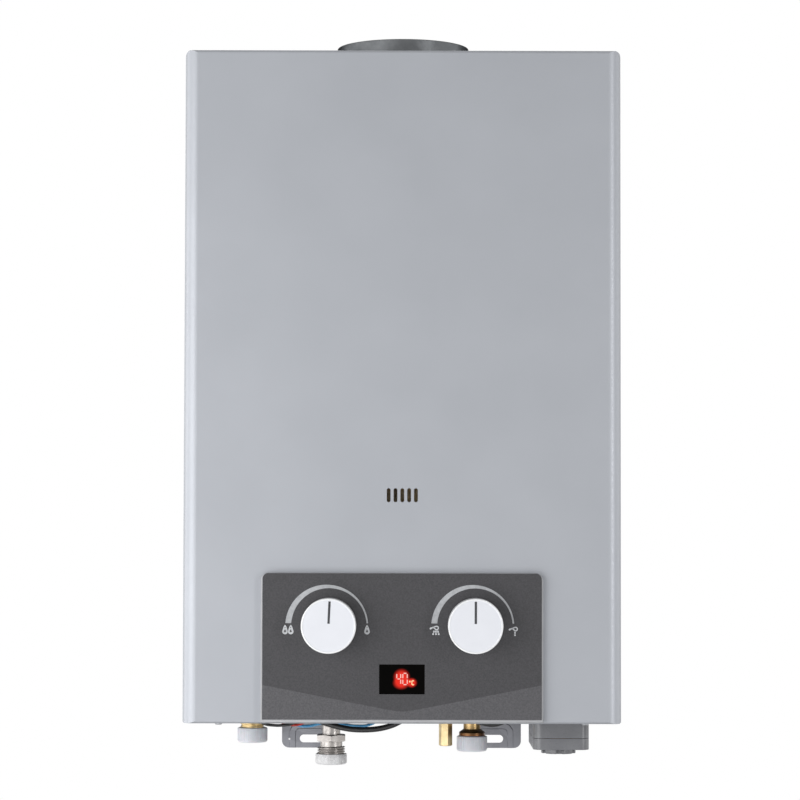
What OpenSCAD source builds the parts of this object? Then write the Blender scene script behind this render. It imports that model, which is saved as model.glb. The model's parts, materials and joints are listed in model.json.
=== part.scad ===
// Wall-hung gas water heater with a natural-draught flue, battery ignition and two front knobs.
// Millimetres. X runs to the viewer's right, Y runs into the wall and Z runs up.
// The origin is on the wall, on the centre line, level with the lower edge of the casing.

/* [Casing] */
// Width of the casing
case_w = 290; // [284:1:310]
// Height of the casing
case_h = 446; // [438:1:480]
// Depth of the casing, from the wall to its front face
case_d = 126; // [124:1:150]
// Thickness of the painted cover sheet
cover_t = 0.8; // [0.6:0.1:1.2]
// Outer radius of the cover's upright front edges
edge_r = 9; // [5:0.5:12]
// Outer radius of the cover's top edges along its sides
top_r = 4; // [2:0.5:6]
// Outer radius of the fold between the cover's front and its top
fold_r = 2; // [1.5:0.5:4]
// Outer radius of the folds along the cover's lower edges
low_r = 1.7; // [1:0.1:2]
// Width of the lip folded in under the cover
lip_w = 12; // [9:1:15]
// Gap from the wall to the rear edges of the cover
wall_gap = 2; // [1:0.5:5]
// Gap between the cover and the chassis inside it
fit_gap = 0.3; // [0.2:0.1:0.8]

/* [Sight slots] */
// Number of slots in the cover in front of the flame window
slot_count = 5; // [3:1:9]
// Width of a slot
slot_w = 2.5; // [1.5:0.1:3.5]
// Height of a slot
slot_h = 9.2; // [6:0.2:14]
// Distance from slot to slot
slot_pitch = 4.5; // [4:0.1:8]
// Height of the slots' centre
slot_z = 150.4; // [146:0.2:156]

/* [Control panel] */
// Width of the panel
panel_w = 186; // [170:1:220]
// Height of the panel
panel_h = 98.2; // [94:0.2:120]
// Height of the panel's lower edge
panel_z = 1; // [0.5:0.5:6]
// Thickness of the panel
panel_t = 4.4; // [3:0.2:8]
// Radius of the panel's upper corners
panel_r = 5; // [2:0.5:10]
// Width of the rim left bare at the sides of the panel's film
rim_w = 1.2; // [0.6:0.1:3]
// Height of the strip left bare under the film
rim_low = 2; // [1:0.1:4]
// Thickness of the panel's film
film_t = 0.6; // [0.3:0.1:1]
// Width of the display window
window_w = 30; // [24:0.5:40]
// Height of the display window
window_h = 19.6; // [14:0.2:24]
// Height of the display window's centre
window_z = 29.5; // [22:0.5:36]

/* [Knobs] */
// Diameter of a knob
knob_d = 36; // [30:0.5:42]
// Height of a knob from its back to its face
knob_h = 16.5; // [12:0.5:24]
// Distance of each knob's axis from the centre line
knob_x = 48; // [46:0.5:58]
// Height of the knobs' axes
knob_z = 65; // [60:0.5:72]
// Diameter of the valve spindles
spindle_d = 6; // [5:0.2:8]
// Gap between the back of a knob and the film
knob_gap = 0.8; // [0.5:0.1:2]
// Width of the dark pointer inlaid in a knob's face
pointer_w = 1.3; // [0.8:0.1:2.5]
// Length of the pointer
pointer_l = 14.6; // [10:0.2:15]

/* [Wall fixing] */
// Thickness of the back plate and its flanges
plate_t = 1; // [0.8:0.1:1.5]
// Depth of the flanges folded forward from the back plate
flange_d = 12; // [8:0.5:13]
// Drop of the back plate below the casing
skirt_h = 8; // [6:0.5:8.5]
// Distance between the centres of the two fixing slots
fix_span = 127; // [120:1:134]
// Length of a fixing slot
fix_slot_l = 16; // [12:0.5:18]
// Width of a fixing slot
fix_slot_w = 5.5; // [4.5:0.1:6.5]
// Drop of the fixing slots below the casing
fix_drop = 20; // [19:0.2:22]
// Width of a wall tab
tab_w = 38; // [34:0.5:42]
// Drop of the wall tabs below the casing
tab_drop = 26.4; // [25:0.1:32]
// Radius of the outer lower corner of a tab
tab_r = 5; // [2:0.5:8]
// Drop of the hanging keyhole below the casing's top
keyhole_drop = 31; // [26:1:60]
// Diameter of the keyhole's round end
keyhole_d = 11; // [9:0.5:13]
// Width of the keyhole's neck
keyhole_neck = 5.5; // [4.5:0.1:6.5]

/* [Base plate] */
// Thickness of the base plate
base_t = 1.2; // [0.8:0.1:2]
// Distance from the wall to the front edge of the plate's closed part
base_reach = 80; // [74:1:84]
// Distance of the cover screws from the centre line
screw_x = 121; // [118:1:130]
// Diameter of the cover screws
screw_d = 3.5; // [3:0.1:4]

/* [Flue] */
// Rim of the hood's roof left in front of and behind the flue collar
hood_rim = 2; // [1:0.5:6]
// Height of the flue collar above the casing
collar_rise = 11; // [10:0.5:40]
// Thickness of the flue sheets
flue_t = 0.8; // [0.6:0.1:1.2]
// Gap between the collar and the notch in the cover's top
notch_gap = 2.5; // [1.5:0.5:4]

/* [Burner and exchanger] */
// Width of the combustion chamber
chamber_w = 168; // [160:1:174]
// Gap between the gas manifold and the cover in front of it
feed_room = 3.2; // [2:0.2:6]
// Height of the combustion chamber and the fins in it
chamber_h = 192; // [180:1:200]
// Thickness of the chamber's copper sheet
chamber_t = 0.8; // [0.6:0.1:1.2]
// Height of the burner tray's lower edge
tray_z = 112; // [110:1:116]
// Height of the burner tray
tray_h = 28; // [26:1:32]
// Number of burner bars
bar_count = 8; // [6:1:8]
// Width of a burner bar
bar_w = 10; // [8:0.5:12]
// Distance from bar to bar
bar_pitch = 19; // [16:0.5:19.5]
// Number of fins
fin_count = 24; // [12:1:30]
// Thickness of a fin
fin_t = 0.8; // [0.5:0.1:1.2]
// Height of the fin block
fin_h = 42; // [34:1:48]
// Diameter of the water pipes
pipe_d = 11; // [10:0.2:12]
// Wall of the water pipes
pipe_wall = 0.9; // [0.7:0.1:1.4]
// Gap between the outer tubes and the chamber's front and back
tube_margin = 4.7; // [3:0.1:8]
// Radius of the pipe bends
pipe_bend = 8; // [7:0.5:9]

/* [Valves] */
// Distance from the wall to the valves' axes
valve_y = 58; // [56:0.5:62]
// Width of the gas valve body
gas_w = 48; // [44:1:50]
// Height of the gas valve body
gas_h = 52; // [46:1:54]
// Width of the water valve body
water_w = 44; // [40:1:46]
// Height of the water valve body
water_h = 38; // [34:1:44]
// Depth of both valve bodies
valve_d = 44; // [38:1:48]
// Diameter of the diaphragm
diaphragm_d = 56; // [50:1:60]
// Thickness of the diaphragm
diaphragm_t = 1.2; // [0.8:0.1:2]
// Diameter of the push rod
rod_d = 5; // [4:0.2:6]
// Travel of the push rod
rod_travel = 4; // [3:0.5:4.5]

/* [Pipe connections] */
// Outer diameter of the hot water thread
outlet_thread_d = 16.66; // [16:0.02:18]
// Drop of the hot water thread's end below the casing
outlet_drop = 18.8; // [17:0.2:26]
// Outer diameter of the gas thread
gas_thread_d = 19.05; // [18:0.05:20]
// Drop of the gas thread's end below the casing
gas_drop = 31; // [29:0.2:38]
// Outer diameter of the gas tube
gas_tube_d = 12.4; // [11:0.2:13]
// Width across the flats of the gas hexagon
gas_hex = 19; // [17:0.5:22]
// Outer diameter of the cold water stub
inlet_stub_d = 11.6; // [10:0.2:13]
// Outer diameter of the cold water thread
inlet_thread_d = 16.66; // [16:0.02:18]
// Drop of the cold water thread's end below the casing
inlet_drop = 21.8; // [20:0.2:28]
// Width across the flats of the drain stub
drain_hex = 8; // [7:0.2:10]
// Distance of the drain stub from the cold water stub
drain_gap = 18; // [16:0.5:19]
// Drop of the drain stub below the casing
drain_drop = 20; // [18:0.2:26]
// Outer diameter of the ribbed water caps
cap_d = 20.8; // [20.2:0.1:23]
// Outer diameter of the gas cap
gas_cap_d = 21.4; // [21.2:0.1:24]
// Gap between a cap and the thread inside it
cap_gap = 0.3; // [0.2:0.05:0.5]

/* [Battery box] */
// Diameter of a cell
cell_d = 33.2; // [32:0.1:34.2]
// Length of a cell
cell_l = 61.5; // [58:0.5:62]
// Room around each cell
cell_gap = 0.5; // [0.3:0.1:0.8]
// Wall of the battery box
box_t = 1.6; // [1.2:0.1:2.4]
// Radius of the box's upright edges
box_r = 6; // [4:0.5:7]
// Distance of the box's centre from the centre line
battery_x = 106.5; // [105:0.5:110]
// Distance of the box's centre from the wall
battery_back = 65.5; // [62:0.5:66]
// Drop of the seam between the box and its lid below the casing
seam_drop = 11.3; // [9:0.1:13]
// Drop of the lid's underside below the casing
lid_drop = 19.1; // [18:0.1:22]
// Diameter of the twist lock
lock_d = 23.5; // [20:0.5:28]
// Height of the twist lock's grip
lock_h = 4.6; // [3:0.1:6]
// Gap at the seam and around the twist lock
seam_gap = 0.3; // [0.2:0.05:0.5]

/* [Electrics] */
// Gap between the igniter box and the side of the back plate
igniter_side_gap = 6.9; // [3:0.1:9]
// Gap between the igniter box and the hot water pipe
igniter_pipe_gap = 3; // [2:0.5:6]
// Depth of the igniter box
igniter_d = 32; // [26:1:40]
// Height of the igniter box
igniter_h = 90; // [70:1:100]
// Height of the igniter box's lower edge
igniter_z = 30; // [26:1:40]
// Distance of the power switch from the centre line
power_x = 8; // [4:0.5:10]
// Tip of the rocker to each side, in degrees
rocker_tip = 8; // [5:1:9]
// Diameter of the wire sleeve
sleeve_d = 3.8; // [3:0.1:3.9]
// Diameter of the single wires
wire_d = 2; // [1.6:0.1:2.4]

/* [Hidden] */
$fn = 64;

// Overshoot of a cut past the face that it opens
cut = 1;
// Radial clearance of a shaft that turns or slides in its bore
run_gap = 0.05;
// Clearance of a fixed piece that passes through a sheet
pass_gap = 0.3;

// Added diameter of the holes that the spindles pass through
spindle_room = 4;
// Height of a cover screw's head
head_h = 1.1;

// Chassis planes
chassis_inset = cover_t + fit_gap;
plate_w = case_w - 2 * chassis_inset;
plate_top = case_h - chassis_inset;
base_z = cover_t;
base_top = base_z + base_t;
inner_front = -case_d + cover_t;
film_back = -case_d - panel_t;
film_front = film_back - film_t;
knob_back = film_front - knob_gap;
knob_front = knob_back - knob_h;

// Sheet of the inner brackets and the burner tray
sheet_t = 1.2;

// Core: the chamber stands clear of the back plate by one wrapped pipe and a gap on each side of it
coil_gap = 1;
manifold_s = 12;
manifold_gap = 2;
core_back = plate_t + 2 * coil_gap + pipe_d;
core_front = -(case_d - cover_t - feed_room - manifold_s - manifold_gap);
chamber_d = -core_front - core_back;
core_y = -(core_back + chamber_d / 2);
collar_d = chamber_d - 2 * hood_rim;
tube_pitch = (chamber_d - 2 * (chamber_t + tube_margin) - pipe_d) / 4;
chamber_z = tray_z + tray_h;
chamber_top = chamber_z + chamber_h;
tube_z = chamber_top - fin_h / 2 - 5;
tube_stub = 8;
coil_off = coil_gap + pipe_d / 2;
coil_x = chamber_w / 2 + coil_off;
riser_x = chamber_w / 2 + tube_stub + pipe_bend + 2;
outlet_run = 3.5;
outlet_x = -(chamber_w / 2 + tube_stub + pipe_bend + outlet_run);
first_tube_y = core_y - 2 * tube_pitch;
last_tube_y = core_y + 2 * tube_pitch;
bracket_x = chamber_w / 2 - 26;
sight_w = 28;
mica_t = 0.6;
electrode_x = 32;
electrode_z = chamber_z + 7;
electrode_d = 6.4;
hood_gap = 13;
hood_top = case_h - cover_t - hood_gap;
shoulder_rise = 30;
baffle_z = chamber_top + shoulder_rise + 4;
relief_w = chamber_w - 48;
bead_z = case_h + 0.6;
bead_h = 1.6;

// Valves
gas_x = -knob_x;
water_x = knob_x;
valve_axis_y = -valve_y;
valve_front = valve_axis_y - valve_d / 2;
valve_back = valve_axis_y + valve_d / 2;
boss_h = 8;
gas_low = knob_z - gas_h / 2 - boss_h;
gas_high = knob_z + gas_h / 2;
gas_block_low = knob_z - gas_h / 2;
water_low = knob_z - water_h / 2 - boss_h;
water_high = knob_z + water_h / 2;
gas_right = gas_x + gas_w / 2;
water_left = water_x - water_w / 2;
flange_t = 4;
neck_l = 6;
flange_x = water_left - neck_l - flange_t;
housing_x = flange_x - diaphragm_t;
housing_t = 10.8;
housing_wall = 4;
housing_left = housing_x - housing_t;
screw_ring = diaphragm_d / 2 - 5;
ring_screw_d = 3;
ring_hole_d = ring_screw_d + 2 * run_gap;
bore_depth = 22;
nut_rim = 4;
nut_h = 5;
frame_w = 34;
frame_h = 22;

// Microswitch on the side of the gas valve, with its lever in front of the push rod's collar
switch_w = 10;
lever_t = 0.8;
lever_gap = 0.4;
lever_x = gas_right + switch_w + rod_travel + lever_gap;
lever_top = knob_z + 21;
lever_low = knob_z + 4;
lever_pin_d = 2.4;
collar_x = lever_x + lever_t + lever_gap;
collar_r = rod_d / 2 + 3.5;

// Burner feed in front of the tray
nozzle_d = 5;
manifold_y = core_front - manifold_gap - manifold_s / 2;
manifold_z = tray_z + 8;
feed_d = 9;
feed_wall = 1;

// Battery box
box_w = cell_d + 2 * (cell_gap + box_t);
box_d = 2 * cell_d + 3 * cell_gap + 2 * box_t;
battery_y = -battery_back;
box_flange = 4;
lid_floor = 1.8;
cell_z = -lid_drop + lid_floor + 2;
box_in_top = cell_z + cell_l + 0.6;
box_top = box_in_top + box_t;
box_left = battery_x - box_w / 2;

// Opening of the base plate for air and wires, between its two arms
gap_left = -(screw_x - 14);
gap_right = box_left - box_flange - 2;

// Power switch and USB socket on the base plate
switch_y = -40;
rocker_w = 14.4;
rocker_d = 9.6;
usb_x = power_x - 26;

// Igniter box between the hot water pipe and the side of the back plate
igniter_right = outlet_x - pipe_d / 2 - igniter_pipe_gap;
igniter_w = igniter_right + plate_w / 2 - plate_t - igniter_side_gap;

// The routes are drawn for an igniter box in this place, and stretch with it left of a fixed point
home_right = -112;
home_w = 24;
lead_fix = -60;
function lead_x(x) =
  x < home_right ? igniter_right + (x - home_right) * igniter_w / home_w
  : x < lead_fix ? lead_fix + (x - lead_fix) * (igniter_right - lead_fix) / (home_right - lead_fix) : x;
function led(route) = [for (p = route) [lead_x(p[0]), p[1], p[2]]];

// Route of the sleeve from the battery box to the igniter box, sagging twice under the casing
sleeve_route = [
  [box_left, -92, 12], [box_left - 6, -92, 12], [76, -95, 5], [69, -97, 0], [61, -97, -2.4],
  [52, -97, -0.8], [43, -97, 2.6], [32, -97, 6], [21, -97, 7], [11, -97, 5], [2, -97, 1],
  [-6, -97, -3], [-15, -97, -5.4], [-25, -97, -6.2], [-35, -97, -5.7], [-45, -97, -3.6],
  [-54, -97, -0.6], [-63, -97, 5], [-72, -95, 10], [-82, -89, 14], [-92, -79, 16],
  [-102, -67, 17], [-110, -54, 18], [-116, -40, 19], [-119, -30, 22], [-119, -27, 26],
  [-119, -27, igniter_z]
];
// Routes of the single wires from the igniter box to the underside of the gas valve
black_route = [
  [-124, -23, igniter_z], [-124, -23, 24], [-123, -31, 17], [-120, -46, 14], [-114, -64, 12.5],
  [-107, -79, 10.5], [-102, -86, 8], [-97, -90, 1.2], [-92, -91, -2.8], [-86, -91, -3.8], [-80, -91, -3.8],
  [-73, -91, -2.4], [-67, -89, 4], [-63, -84, 13], [-62, -78, 24], [-62, -74, 33],
  [-62, -74, gas_block_low]
];
blue_route = [
  [-133, -12, igniter_z], [-133, -12, 14], [-132, -24, 7], [-128, -48, 5], [-119, -68, 5],
  [-108, -79, 5], [-96, -82, 4], [-85, -83, 1.5], [-76, -83, -2], [-69, -83, -4.6], [-62, -83, -4.8],
  [-54, -83, -3], [-46, -83, -2.6], [-38, -83, -4], [-30, -83, -4.6], [-22, -83, -4], [-16, -83, 0],
  [-16, -82, 10], [-21, -78, 21], [-28, -75, 30], [-30, -74, 35], [-30, -74, gas_block_low]
];
red_route = [
  [-129, -18, igniter_z], [-129, -18, 20], [-128, -27, 13], [-123, -48, 9.5], [-116, -68, 8.6],
  [-107, -80.5, 7.6], [-96, -86, 4], [-86, -87, 0], [-78, -87, -2.8], [-71, -87, -3.8],
  [-65, -86, -1.6], [-59, -84, 5], [-55, -79, 16], [-54, -74, 27], [-54, -72, 34],
  [-54, -72, gas_block_low]
];

// A thickness from depth y towards the front, of a drawing whose own axes are X and Z
module upright(y, t)
  translate([0, y, 0]) rotate([90, 0, 0]) linear_extrude(t) children();

// A thickness from x towards the right, of a drawing whose own axes are Y and Z
module sideways(x, t)
  translate([x, 0, 0]) rotate([90, 0, 90]) linear_extrude(t) children();

// A round bar along Y between two depths
module bar_y(x, z, y_front, y_back, d)
  translate([x, y_back, z]) rotate([90, 0, 0]) cylinder(d = d, h = y_back - y_front);

// A round bar along X between two places
module bar_x(y, z, x_from, x_to, d)
  translate([x_from, y, z]) rotate([0, 90, 0]) cylinder(d = d, h = x_to - x_from);

// A box between two corners
module block(low, high)
  translate(low) cube(high - low);

// The outline of a rectangle with four round corners
module rounded(w, h, r) {
  square([w - 2 * r, h], center = true);
  square([w, h - 2 * r], center = true);
  for (sx = [-1, 1], sy = [-1, 1])
    translate([sx * (w / 2 - r), sy * (h / 2 - r)]) circle(r);
}

// The outline of a rectangle on the base line whose two far corners are round
module arch(w, h, r) {
  translate([-w / 2, 0]) square([w, h - r]);
  translate([-w / 2 + r, 0]) square([w - 2 * r, h]);
  for (s = [-1, 1]) translate([s * (w / 2 - r), h - r]) circle(r);
}

// The outline of a slot with round ends, upright if it is taller than wide
module pill(w, h) {
  r = min(w, h) / 2;
  square([w - (w > h ? 2 * r : 0), h - (w > h ? 0 : 2 * r)], center = true);
  for (s = [-1, 1])
    translate(w > h ? [s * (w / 2 - r), 0] : [0, s * (h / 2 - r)]) circle(r);
}

// The points of a ribbed round outline
function ribbed(d, depth, count) = [
  for (i = [0 : 2 * count - 1])
    let (a = i * 180 / count, r = d / 2 - (i % 2) * depth) [r * cos(a), r * sin(a)]
];

// A thread as a stack of ridges between two heights
module thread(d, low, high, pitch) {
  count = floor((high - low) / pitch);
  step = (high - low) / count;
  root = d / 2 - 0.55 * pitch;
  ridges = [for (i = [0 : count - 1]) each [[root, i * step], [d / 2, (i + 0.5) * step]]];
  translate([0, 0, low]) rotate_extrude()
    polygon(concat([[0, 0]], ridges, [[root, count * step], [0, count * step]]));
}

// A hexagon bar between two heights, with one corner towards the front
module hexagon(flats, low, high)
  translate([0, 0, low]) rotate(30) cylinder(d = flats / cos(30), h = high - low, $fn = 6);

function unit(v) = v / norm(v);

// The placing matrix for three axes and a point
function placing(x, y, z, p) =
  [[x[0], y[0], z[0], p[0]], [x[1], y[1], z[1], p[1]], [x[2], y[2], z[2], p[2]], [0, 0, 0, 1]];

module ring(d, wall)
  difference() {
    circle(d = d);
    if (wall < d / 2) circle(d = d - 2 * wall);
  }

// A pipe through points that lie on lines along the axes, with square round bends; solid if its wall meets
module pipe(points, d, wall, bend) {
  last = len(points) - 1;
  for (i = [0 : last - 1]) {
    way = unit(points[i + 1] - points[i]);
    start = points[i] + (i > 0 ? bend : 0) * way;
    run = norm(points[i + 1] - points[i]) - (i > 0 ? bend : 0) - (i < last - 1 ? bend : 0);
    across = [way[1], way[2], way[0]];
    if (run > 0.01)
      multmatrix(placing(across, cross(way, across), way, start)) linear_extrude(run) ring(d, wall);
  }
  for (i = [1 : last - 1]) {
    come = unit(points[i] - points[i - 1]);
    go = unit(points[i + 1] - points[i]);
    multmatrix(placing(-go, come, cross(come, go), points[i] + bend * (go - come)))
      rotate_extrude(angle = 90) translate([bend, 0]) ring(d, wall);
  }
}

// Directions along a route, and one sideways direction carried along it
function headings(p) = [
  for (i = [0 : len(p) - 1]) unit(p[min(i + 1, len(p) - 1)] - p[max(i - 1, 0)])
];
function side_at(h, i) =
  i == 0 ? unit(cross(h[0], [0.2, 0.6, 0.7]))
         : let (s = side_at(h, i - 1)) unit(s - (s * h[i]) * h[i]);

// A wire as one closed tube along a route
module wire(route, d, sides = 8) {
  h = headings(route);
  n = len(route);
  points = [
    for (i = [0 : n - 1]) let (u = side_at(h, i), v = cross(h[i], u))
      for (k = [0 : sides - 1]) let (a = 360 * k / sides)
        route[i] + d / 2 * (cos(a) * u + sin(a) * v)
  ];
  walls = [
    for (i = [0 : n - 2], k = [0 : sides - 1])
      let (a = i * sides + k, b = i * sides + (k + 1) % sides)
        each [[a, a + sides, b], [b, a + sides, b + sides]]
  ];
  ends = [
    for (k = [1 : sides - 2])
      each [[0, k, k + 1], [(n - 1) * sides, (n - 1) * sides + k + 1, (n - 1) * sides + k]]
  ];
  polyhedron(points, concat(walls, ends));
}

// The plan of the casing at an inset, back to a given depth
module case_plan(inset, rear)
  translate([0, rear]) mirror([0, 1])
    arch(case_w - 2 * inset, case_d - inset + rear, max(0.5, edge_r - inset));

// An upright rectangle whose lower and upper corners have radii of their own, on the named sides
module standing(left, right, low, high, r_low, r_high, sides) {
  translate([left, low + r_low]) square([right - left, high - low - r_low - r_high]);
  for (s = sides) {
    x_low = s < 0 ? left + r_low : right - r_low;
    x_high = s < 0 ? left + r_high : right - r_high;
    translate([x_low, low + r_low]) circle(r_low);
    translate([x_high, high - r_high]) circle(r_high);
  }
  inner = len(sides) > 1 ? 1 : 0;
  translate([left + r_low, low]) square([right - left - (1 + inner) * r_low, high - low - r_high]);
  translate([left + r_high, low + r_low]) square([right - left - (1 + inner) * r_high, high - low - r_low]);
}

// The casing as one block at an inset
module case_block(inset, rear) {
  fold = max(0.3, fold_r - inset);
  low_fold = max(0.3, low_r - inset);
  corner = max(0.5, top_r - inset);
  half = case_w / 2 - inset;
  front = -case_d + inset;
  high = case_h - inset;
  intersection() {
    translate([0, 0, inset]) linear_extrude(high - inset) case_plan(inset, rear);
    upright(rear, rear - front) standing(-half, half, inset, high, low_fold, corner, [-1, 1]);
    sideways(-half, 2 * half) standing(front, rear, inset, high, low_fold, fold, [-1]);
  }
}

module front_cover()
  color("#b1b2b8") difference() {
    case_block(0, -wall_gap);
    case_block(cover_t, cut);
    // Opening inside the folded lip
    translate([-case_w / 2 + lip_w, -case_d + lip_w, -cut])
      cube([case_w - 2 * lip_w, case_d, cover_t + 2 * cut]);
    // Notch that lets the cover come off forwards past the flue collar
    translate([0, core_y, case_h - cover_t - cut]) {
      cylinder(d = collar_d + 2 * notch_gap, h = cover_t + 2 * cut);
      translate([-collar_d / 2 - notch_gap, 0, 0])
        cube([collar_d + 2 * notch_gap, -core_y, cover_t + 2 * cut]);
    }
    for (i = [0 : slot_count - 1])
      upright(inner_front + cut, cover_t + 2 * cut)
        translate([(i - (slot_count - 1) / 2) * slot_pitch, slot_z]) pill(slot_w, slot_h);
    panel_holes(inner_front + cut, cover_t + 2 * cut);
    for (s = [-1, 1])
      translate([s * screw_x, -case_d + lip_w / 2, -cut])
        cylinder(d = screw_d + 2 * run_gap, h = cover_t + 2 * cut);
  }

// The two spindle holes and the display cut-out, shared by the cover, the panel and the film
module panel_holes(y, t) {
  for (s = [-1, 1]) upright(y, t) translate([s * knob_x, knob_z]) circle(d = spindle_d + spindle_room);
  upright(y, t) translate([0, window_z]) square([window_w, window_h], center = true);
}

module cover_screws()
  color("#a9abae") for (s = [-1, 1])
    translate([s * screw_x, -case_d + lip_w / 2, 0]) {
      cylinder(d = screw_d, h = base_top + 4);
      translate([0, 0, -head_h]) cylinder(d = 1.5 * screw_d, h = head_h);
    }

module wall_tab() {
  translate([-tab_w / 2, -tab_drop + tab_r]) square([tab_w, tab_drop - tab_r]);
  translate([-tab_w / 2, -tab_drop]) square([tab_w - tab_r, tab_drop]);
  translate([tab_w / 2 - tab_r, -tab_drop + tab_r]) circle(tab_r);
}

// The pressed bead with a flat back that frames a fixing slot on three sides
module tab_bead() {
  bead_w = 4.4;
  bead_h = 0.7;
  crown = 1.4;
  bead_bend = 5;
  reach = fix_slot_l / 2 + 4;
  top = -skirt_h - 0.8 - bead_w / 2;
  r = (bead_w * bead_w / 4 + crown * crown) / (2 * crown);
  y = -plate_t - crown + r;
  low = -tab_drop;
  intersection() {
    pipe([[-reach, y, low], [-reach, y, top], [reach, y, top], [reach, y, low]], 2 * r, r, bead_bend);
    block([-2 * reach, -plate_t - bead_h, low], [2 * reach, -plate_t / 2, 0]);
  }
}

// The back plate from the front at an inset, with the round corners of the cover's top inside it
module plate_outline(inset)
  arch(plate_w - 2 * inset, plate_top - inset, max(0.5, top_r - chassis_inset - inset));

// Tray with its flanges folded forward, and two tabs that hang below the casing
module back_plate()
  color("#7b7c81") {
    slot_x = fix_span / 2;
    keyhole_z = case_h - keyhole_drop;
    difference() {
      union() {
        difference() {
          upright(0, flange_d) plate_outline(0);
          upright(-plate_t, flange_d) plate_outline(plate_t);
          translate([-case_w / 2, -flange_d - cut, -cut])
            cube([case_w, flange_d - plate_t + cut, low_r + cut]);
        }
        upright(0, plate_t) translate([-plate_w / 2, -skirt_h]) square([plate_w, skirt_h + cut]);
        for (s = [0, 1]) mirror([s, 0, 0]) {
          upright(0, plate_t) translate([slot_x + 1.5, 0]) wall_tab();
          translate([slot_x + 1, 0, 0]) tab_bead();
        }
      }
      for (s = [-1, 1])
        upright(cut, plate_t + 2 * cut) translate([s * slot_x, -fix_drop]) pill(fix_slot_l, fix_slot_w);
      upright(cut, plate_t + 2 * cut) translate([-slot_x - tab_w / 2 + 3.7, -fix_drop - 0.4]) circle(d = 1.2);
      upright(cut, plate_t + 2 * cut) translate([0, keyhole_z]) {
        circle(d = keyhole_d);
        translate([0, 6]) pill(keyhole_neck, 12 + keyhole_neck);
      }
    }
  }

module base_plate()
  color("#96989b") difference() {
    translate([0, 0, base_z]) linear_extrude(base_t) difference() {
      case_plan(chassis_inset + plate_t, -plate_t);
      translate([gap_left, -case_d]) square([gap_right - gap_left, case_d - base_reach]);
      translate([battery_x, battery_y])
        square([box_w + 2 * pass_gap, box_d + 2 * pass_gap], center = true);
      translate([power_x, switch_y]) square([rocker_w + 5, rocker_d + 3.8], center = true);
      translate([usb_x, switch_y]) square([9, 4], center = true);
      for (s = [-1, 1])
        translate([s * screw_x, -case_d + lip_w / 2]) circle(d = screw_d + 2 * run_gap);
      translate([outlet_x, last_tube_y]) circle(d = outlet_thread_d + 2 * pass_gap);
      translate([gas_x, valve_axis_y]) circle(d = gas_tube_d + 2 * pass_gap);
      translate([water_x, valve_axis_y]) circle(d = inlet_stub_d + 2 * pass_gap);
      translate([water_x - drain_gap, valve_axis_y]) circle(d = drain_hex / cos(30) + 2 * pass_gap);
    }
  }

module panel_base()
  color("#b9bbbf") difference() {
    upright(-case_d, panel_t) translate([0, panel_z]) arch(panel_w, panel_h, panel_r);
    panel_holes(-case_d + cut, panel_t + 2 * cut);
  }

module panel_film()
  color("#545357") difference() {
    upright(film_back, film_t) translate([0, panel_z + rim_low])
      arch(panel_w - 2 * rim_w, panel_h - rim_low - 0.2, max(0.5, panel_r - rim_w));
    panel_holes(film_back + cut, film_t + 2 * cut);
  }

window_t = 2.6;
// The window stands in the film's cut-out and rests on the display board's lamp block
module display_window()
  color("#100e0b")
    block([-window_w / 2 + run_gap, film_front + 0.1, window_z - window_h / 2 + run_gap],
          [window_w / 2 - run_gap, film_front + window_t, window_z + window_h / 2 - run_gap]);

module display_board()
  color("#2f5a41") {
    stand = 7;
    post_d = 5;
    side = 7;
    over = 4;
    board_t = 1.6;
    board_y = inner_front + stand;
    board_w = window_w + 2 * side;
    board_h = window_h + 2 * over;
    block([-window_w / 2 + pass_gap, film_front + window_t, window_z - window_h / 2 + pass_gap],
          [window_w / 2 - pass_gap, board_y, window_z + window_h / 2 - pass_gap]);
    block([-board_w / 2, board_y, window_z - board_h / 2],
          [board_w / 2, board_y + board_t, window_z + board_h / 2]);
    for (s = [-1, 1]) bar_y(s * (board_w / 2 - side / 2), window_z, inner_front, board_y, post_d);
  }

// The outline of the draught hood from the front, at an inset
module hood_outline(inset) {
  low = chamber_w / 2 - inset;
  high = collar_d / 2 + 4 - inset;
  shoulder = chamber_top + shoulder_rise;
  polygon([[-low, chamber_top], [low, chamber_top], [low, shoulder], [high, hood_top - inset],
           [-high, hood_top - inset], [-low, shoulder]]);
}

module flue_hood()
  color("#9a9c9e") difference() {
    upright(-core_back, chamber_d) hood_outline(0);
    difference() {
      upright(-core_back - flue_t, chamber_d - 2 * flue_t) hood_outline(flue_t);
      // Baffle across the draught hood
      block([-chamber_w, core_y - chamber_d / 4, baffle_z],
            [chamber_w, core_y + chamber_d / 4, baffle_z + flue_t]);
    }
    // Relief opening of the draught hood
    block([-relief_w / 2, core_front - cut, chamber_top + 8],
          [relief_w / 2, core_front + flue_t + cut, chamber_top + 24]);
    translate([0, core_y, hood_top - flue_t - cut])
      cylinder(d = collar_d - 2 * flue_t, h = flue_t + 2 * cut);
  }

// The collar stands on the hood, with a stop bead just above the casing for the flue pipe
module flue_collar()
  color("#6a6c6d") translate([0, core_y, 0]) difference() {
    union() {
      translate([0, 0, hood_top]) cylinder(d = collar_d, h = case_h + collar_rise - hood_top);
      translate([0, 0, hood_top]) cylinder(d = collar_d + 2 * hood_rim, h = flue_t);
      translate([0, 0, bead_z]) cylinder(d = collar_d + 2.4, h = bead_h);
    }
    translate([0, 0, hood_top - cut])
      cylinder(d = collar_d - 2 * flue_t, h = case_h + collar_rise - hood_top + 2 * cut);
  }

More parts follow.
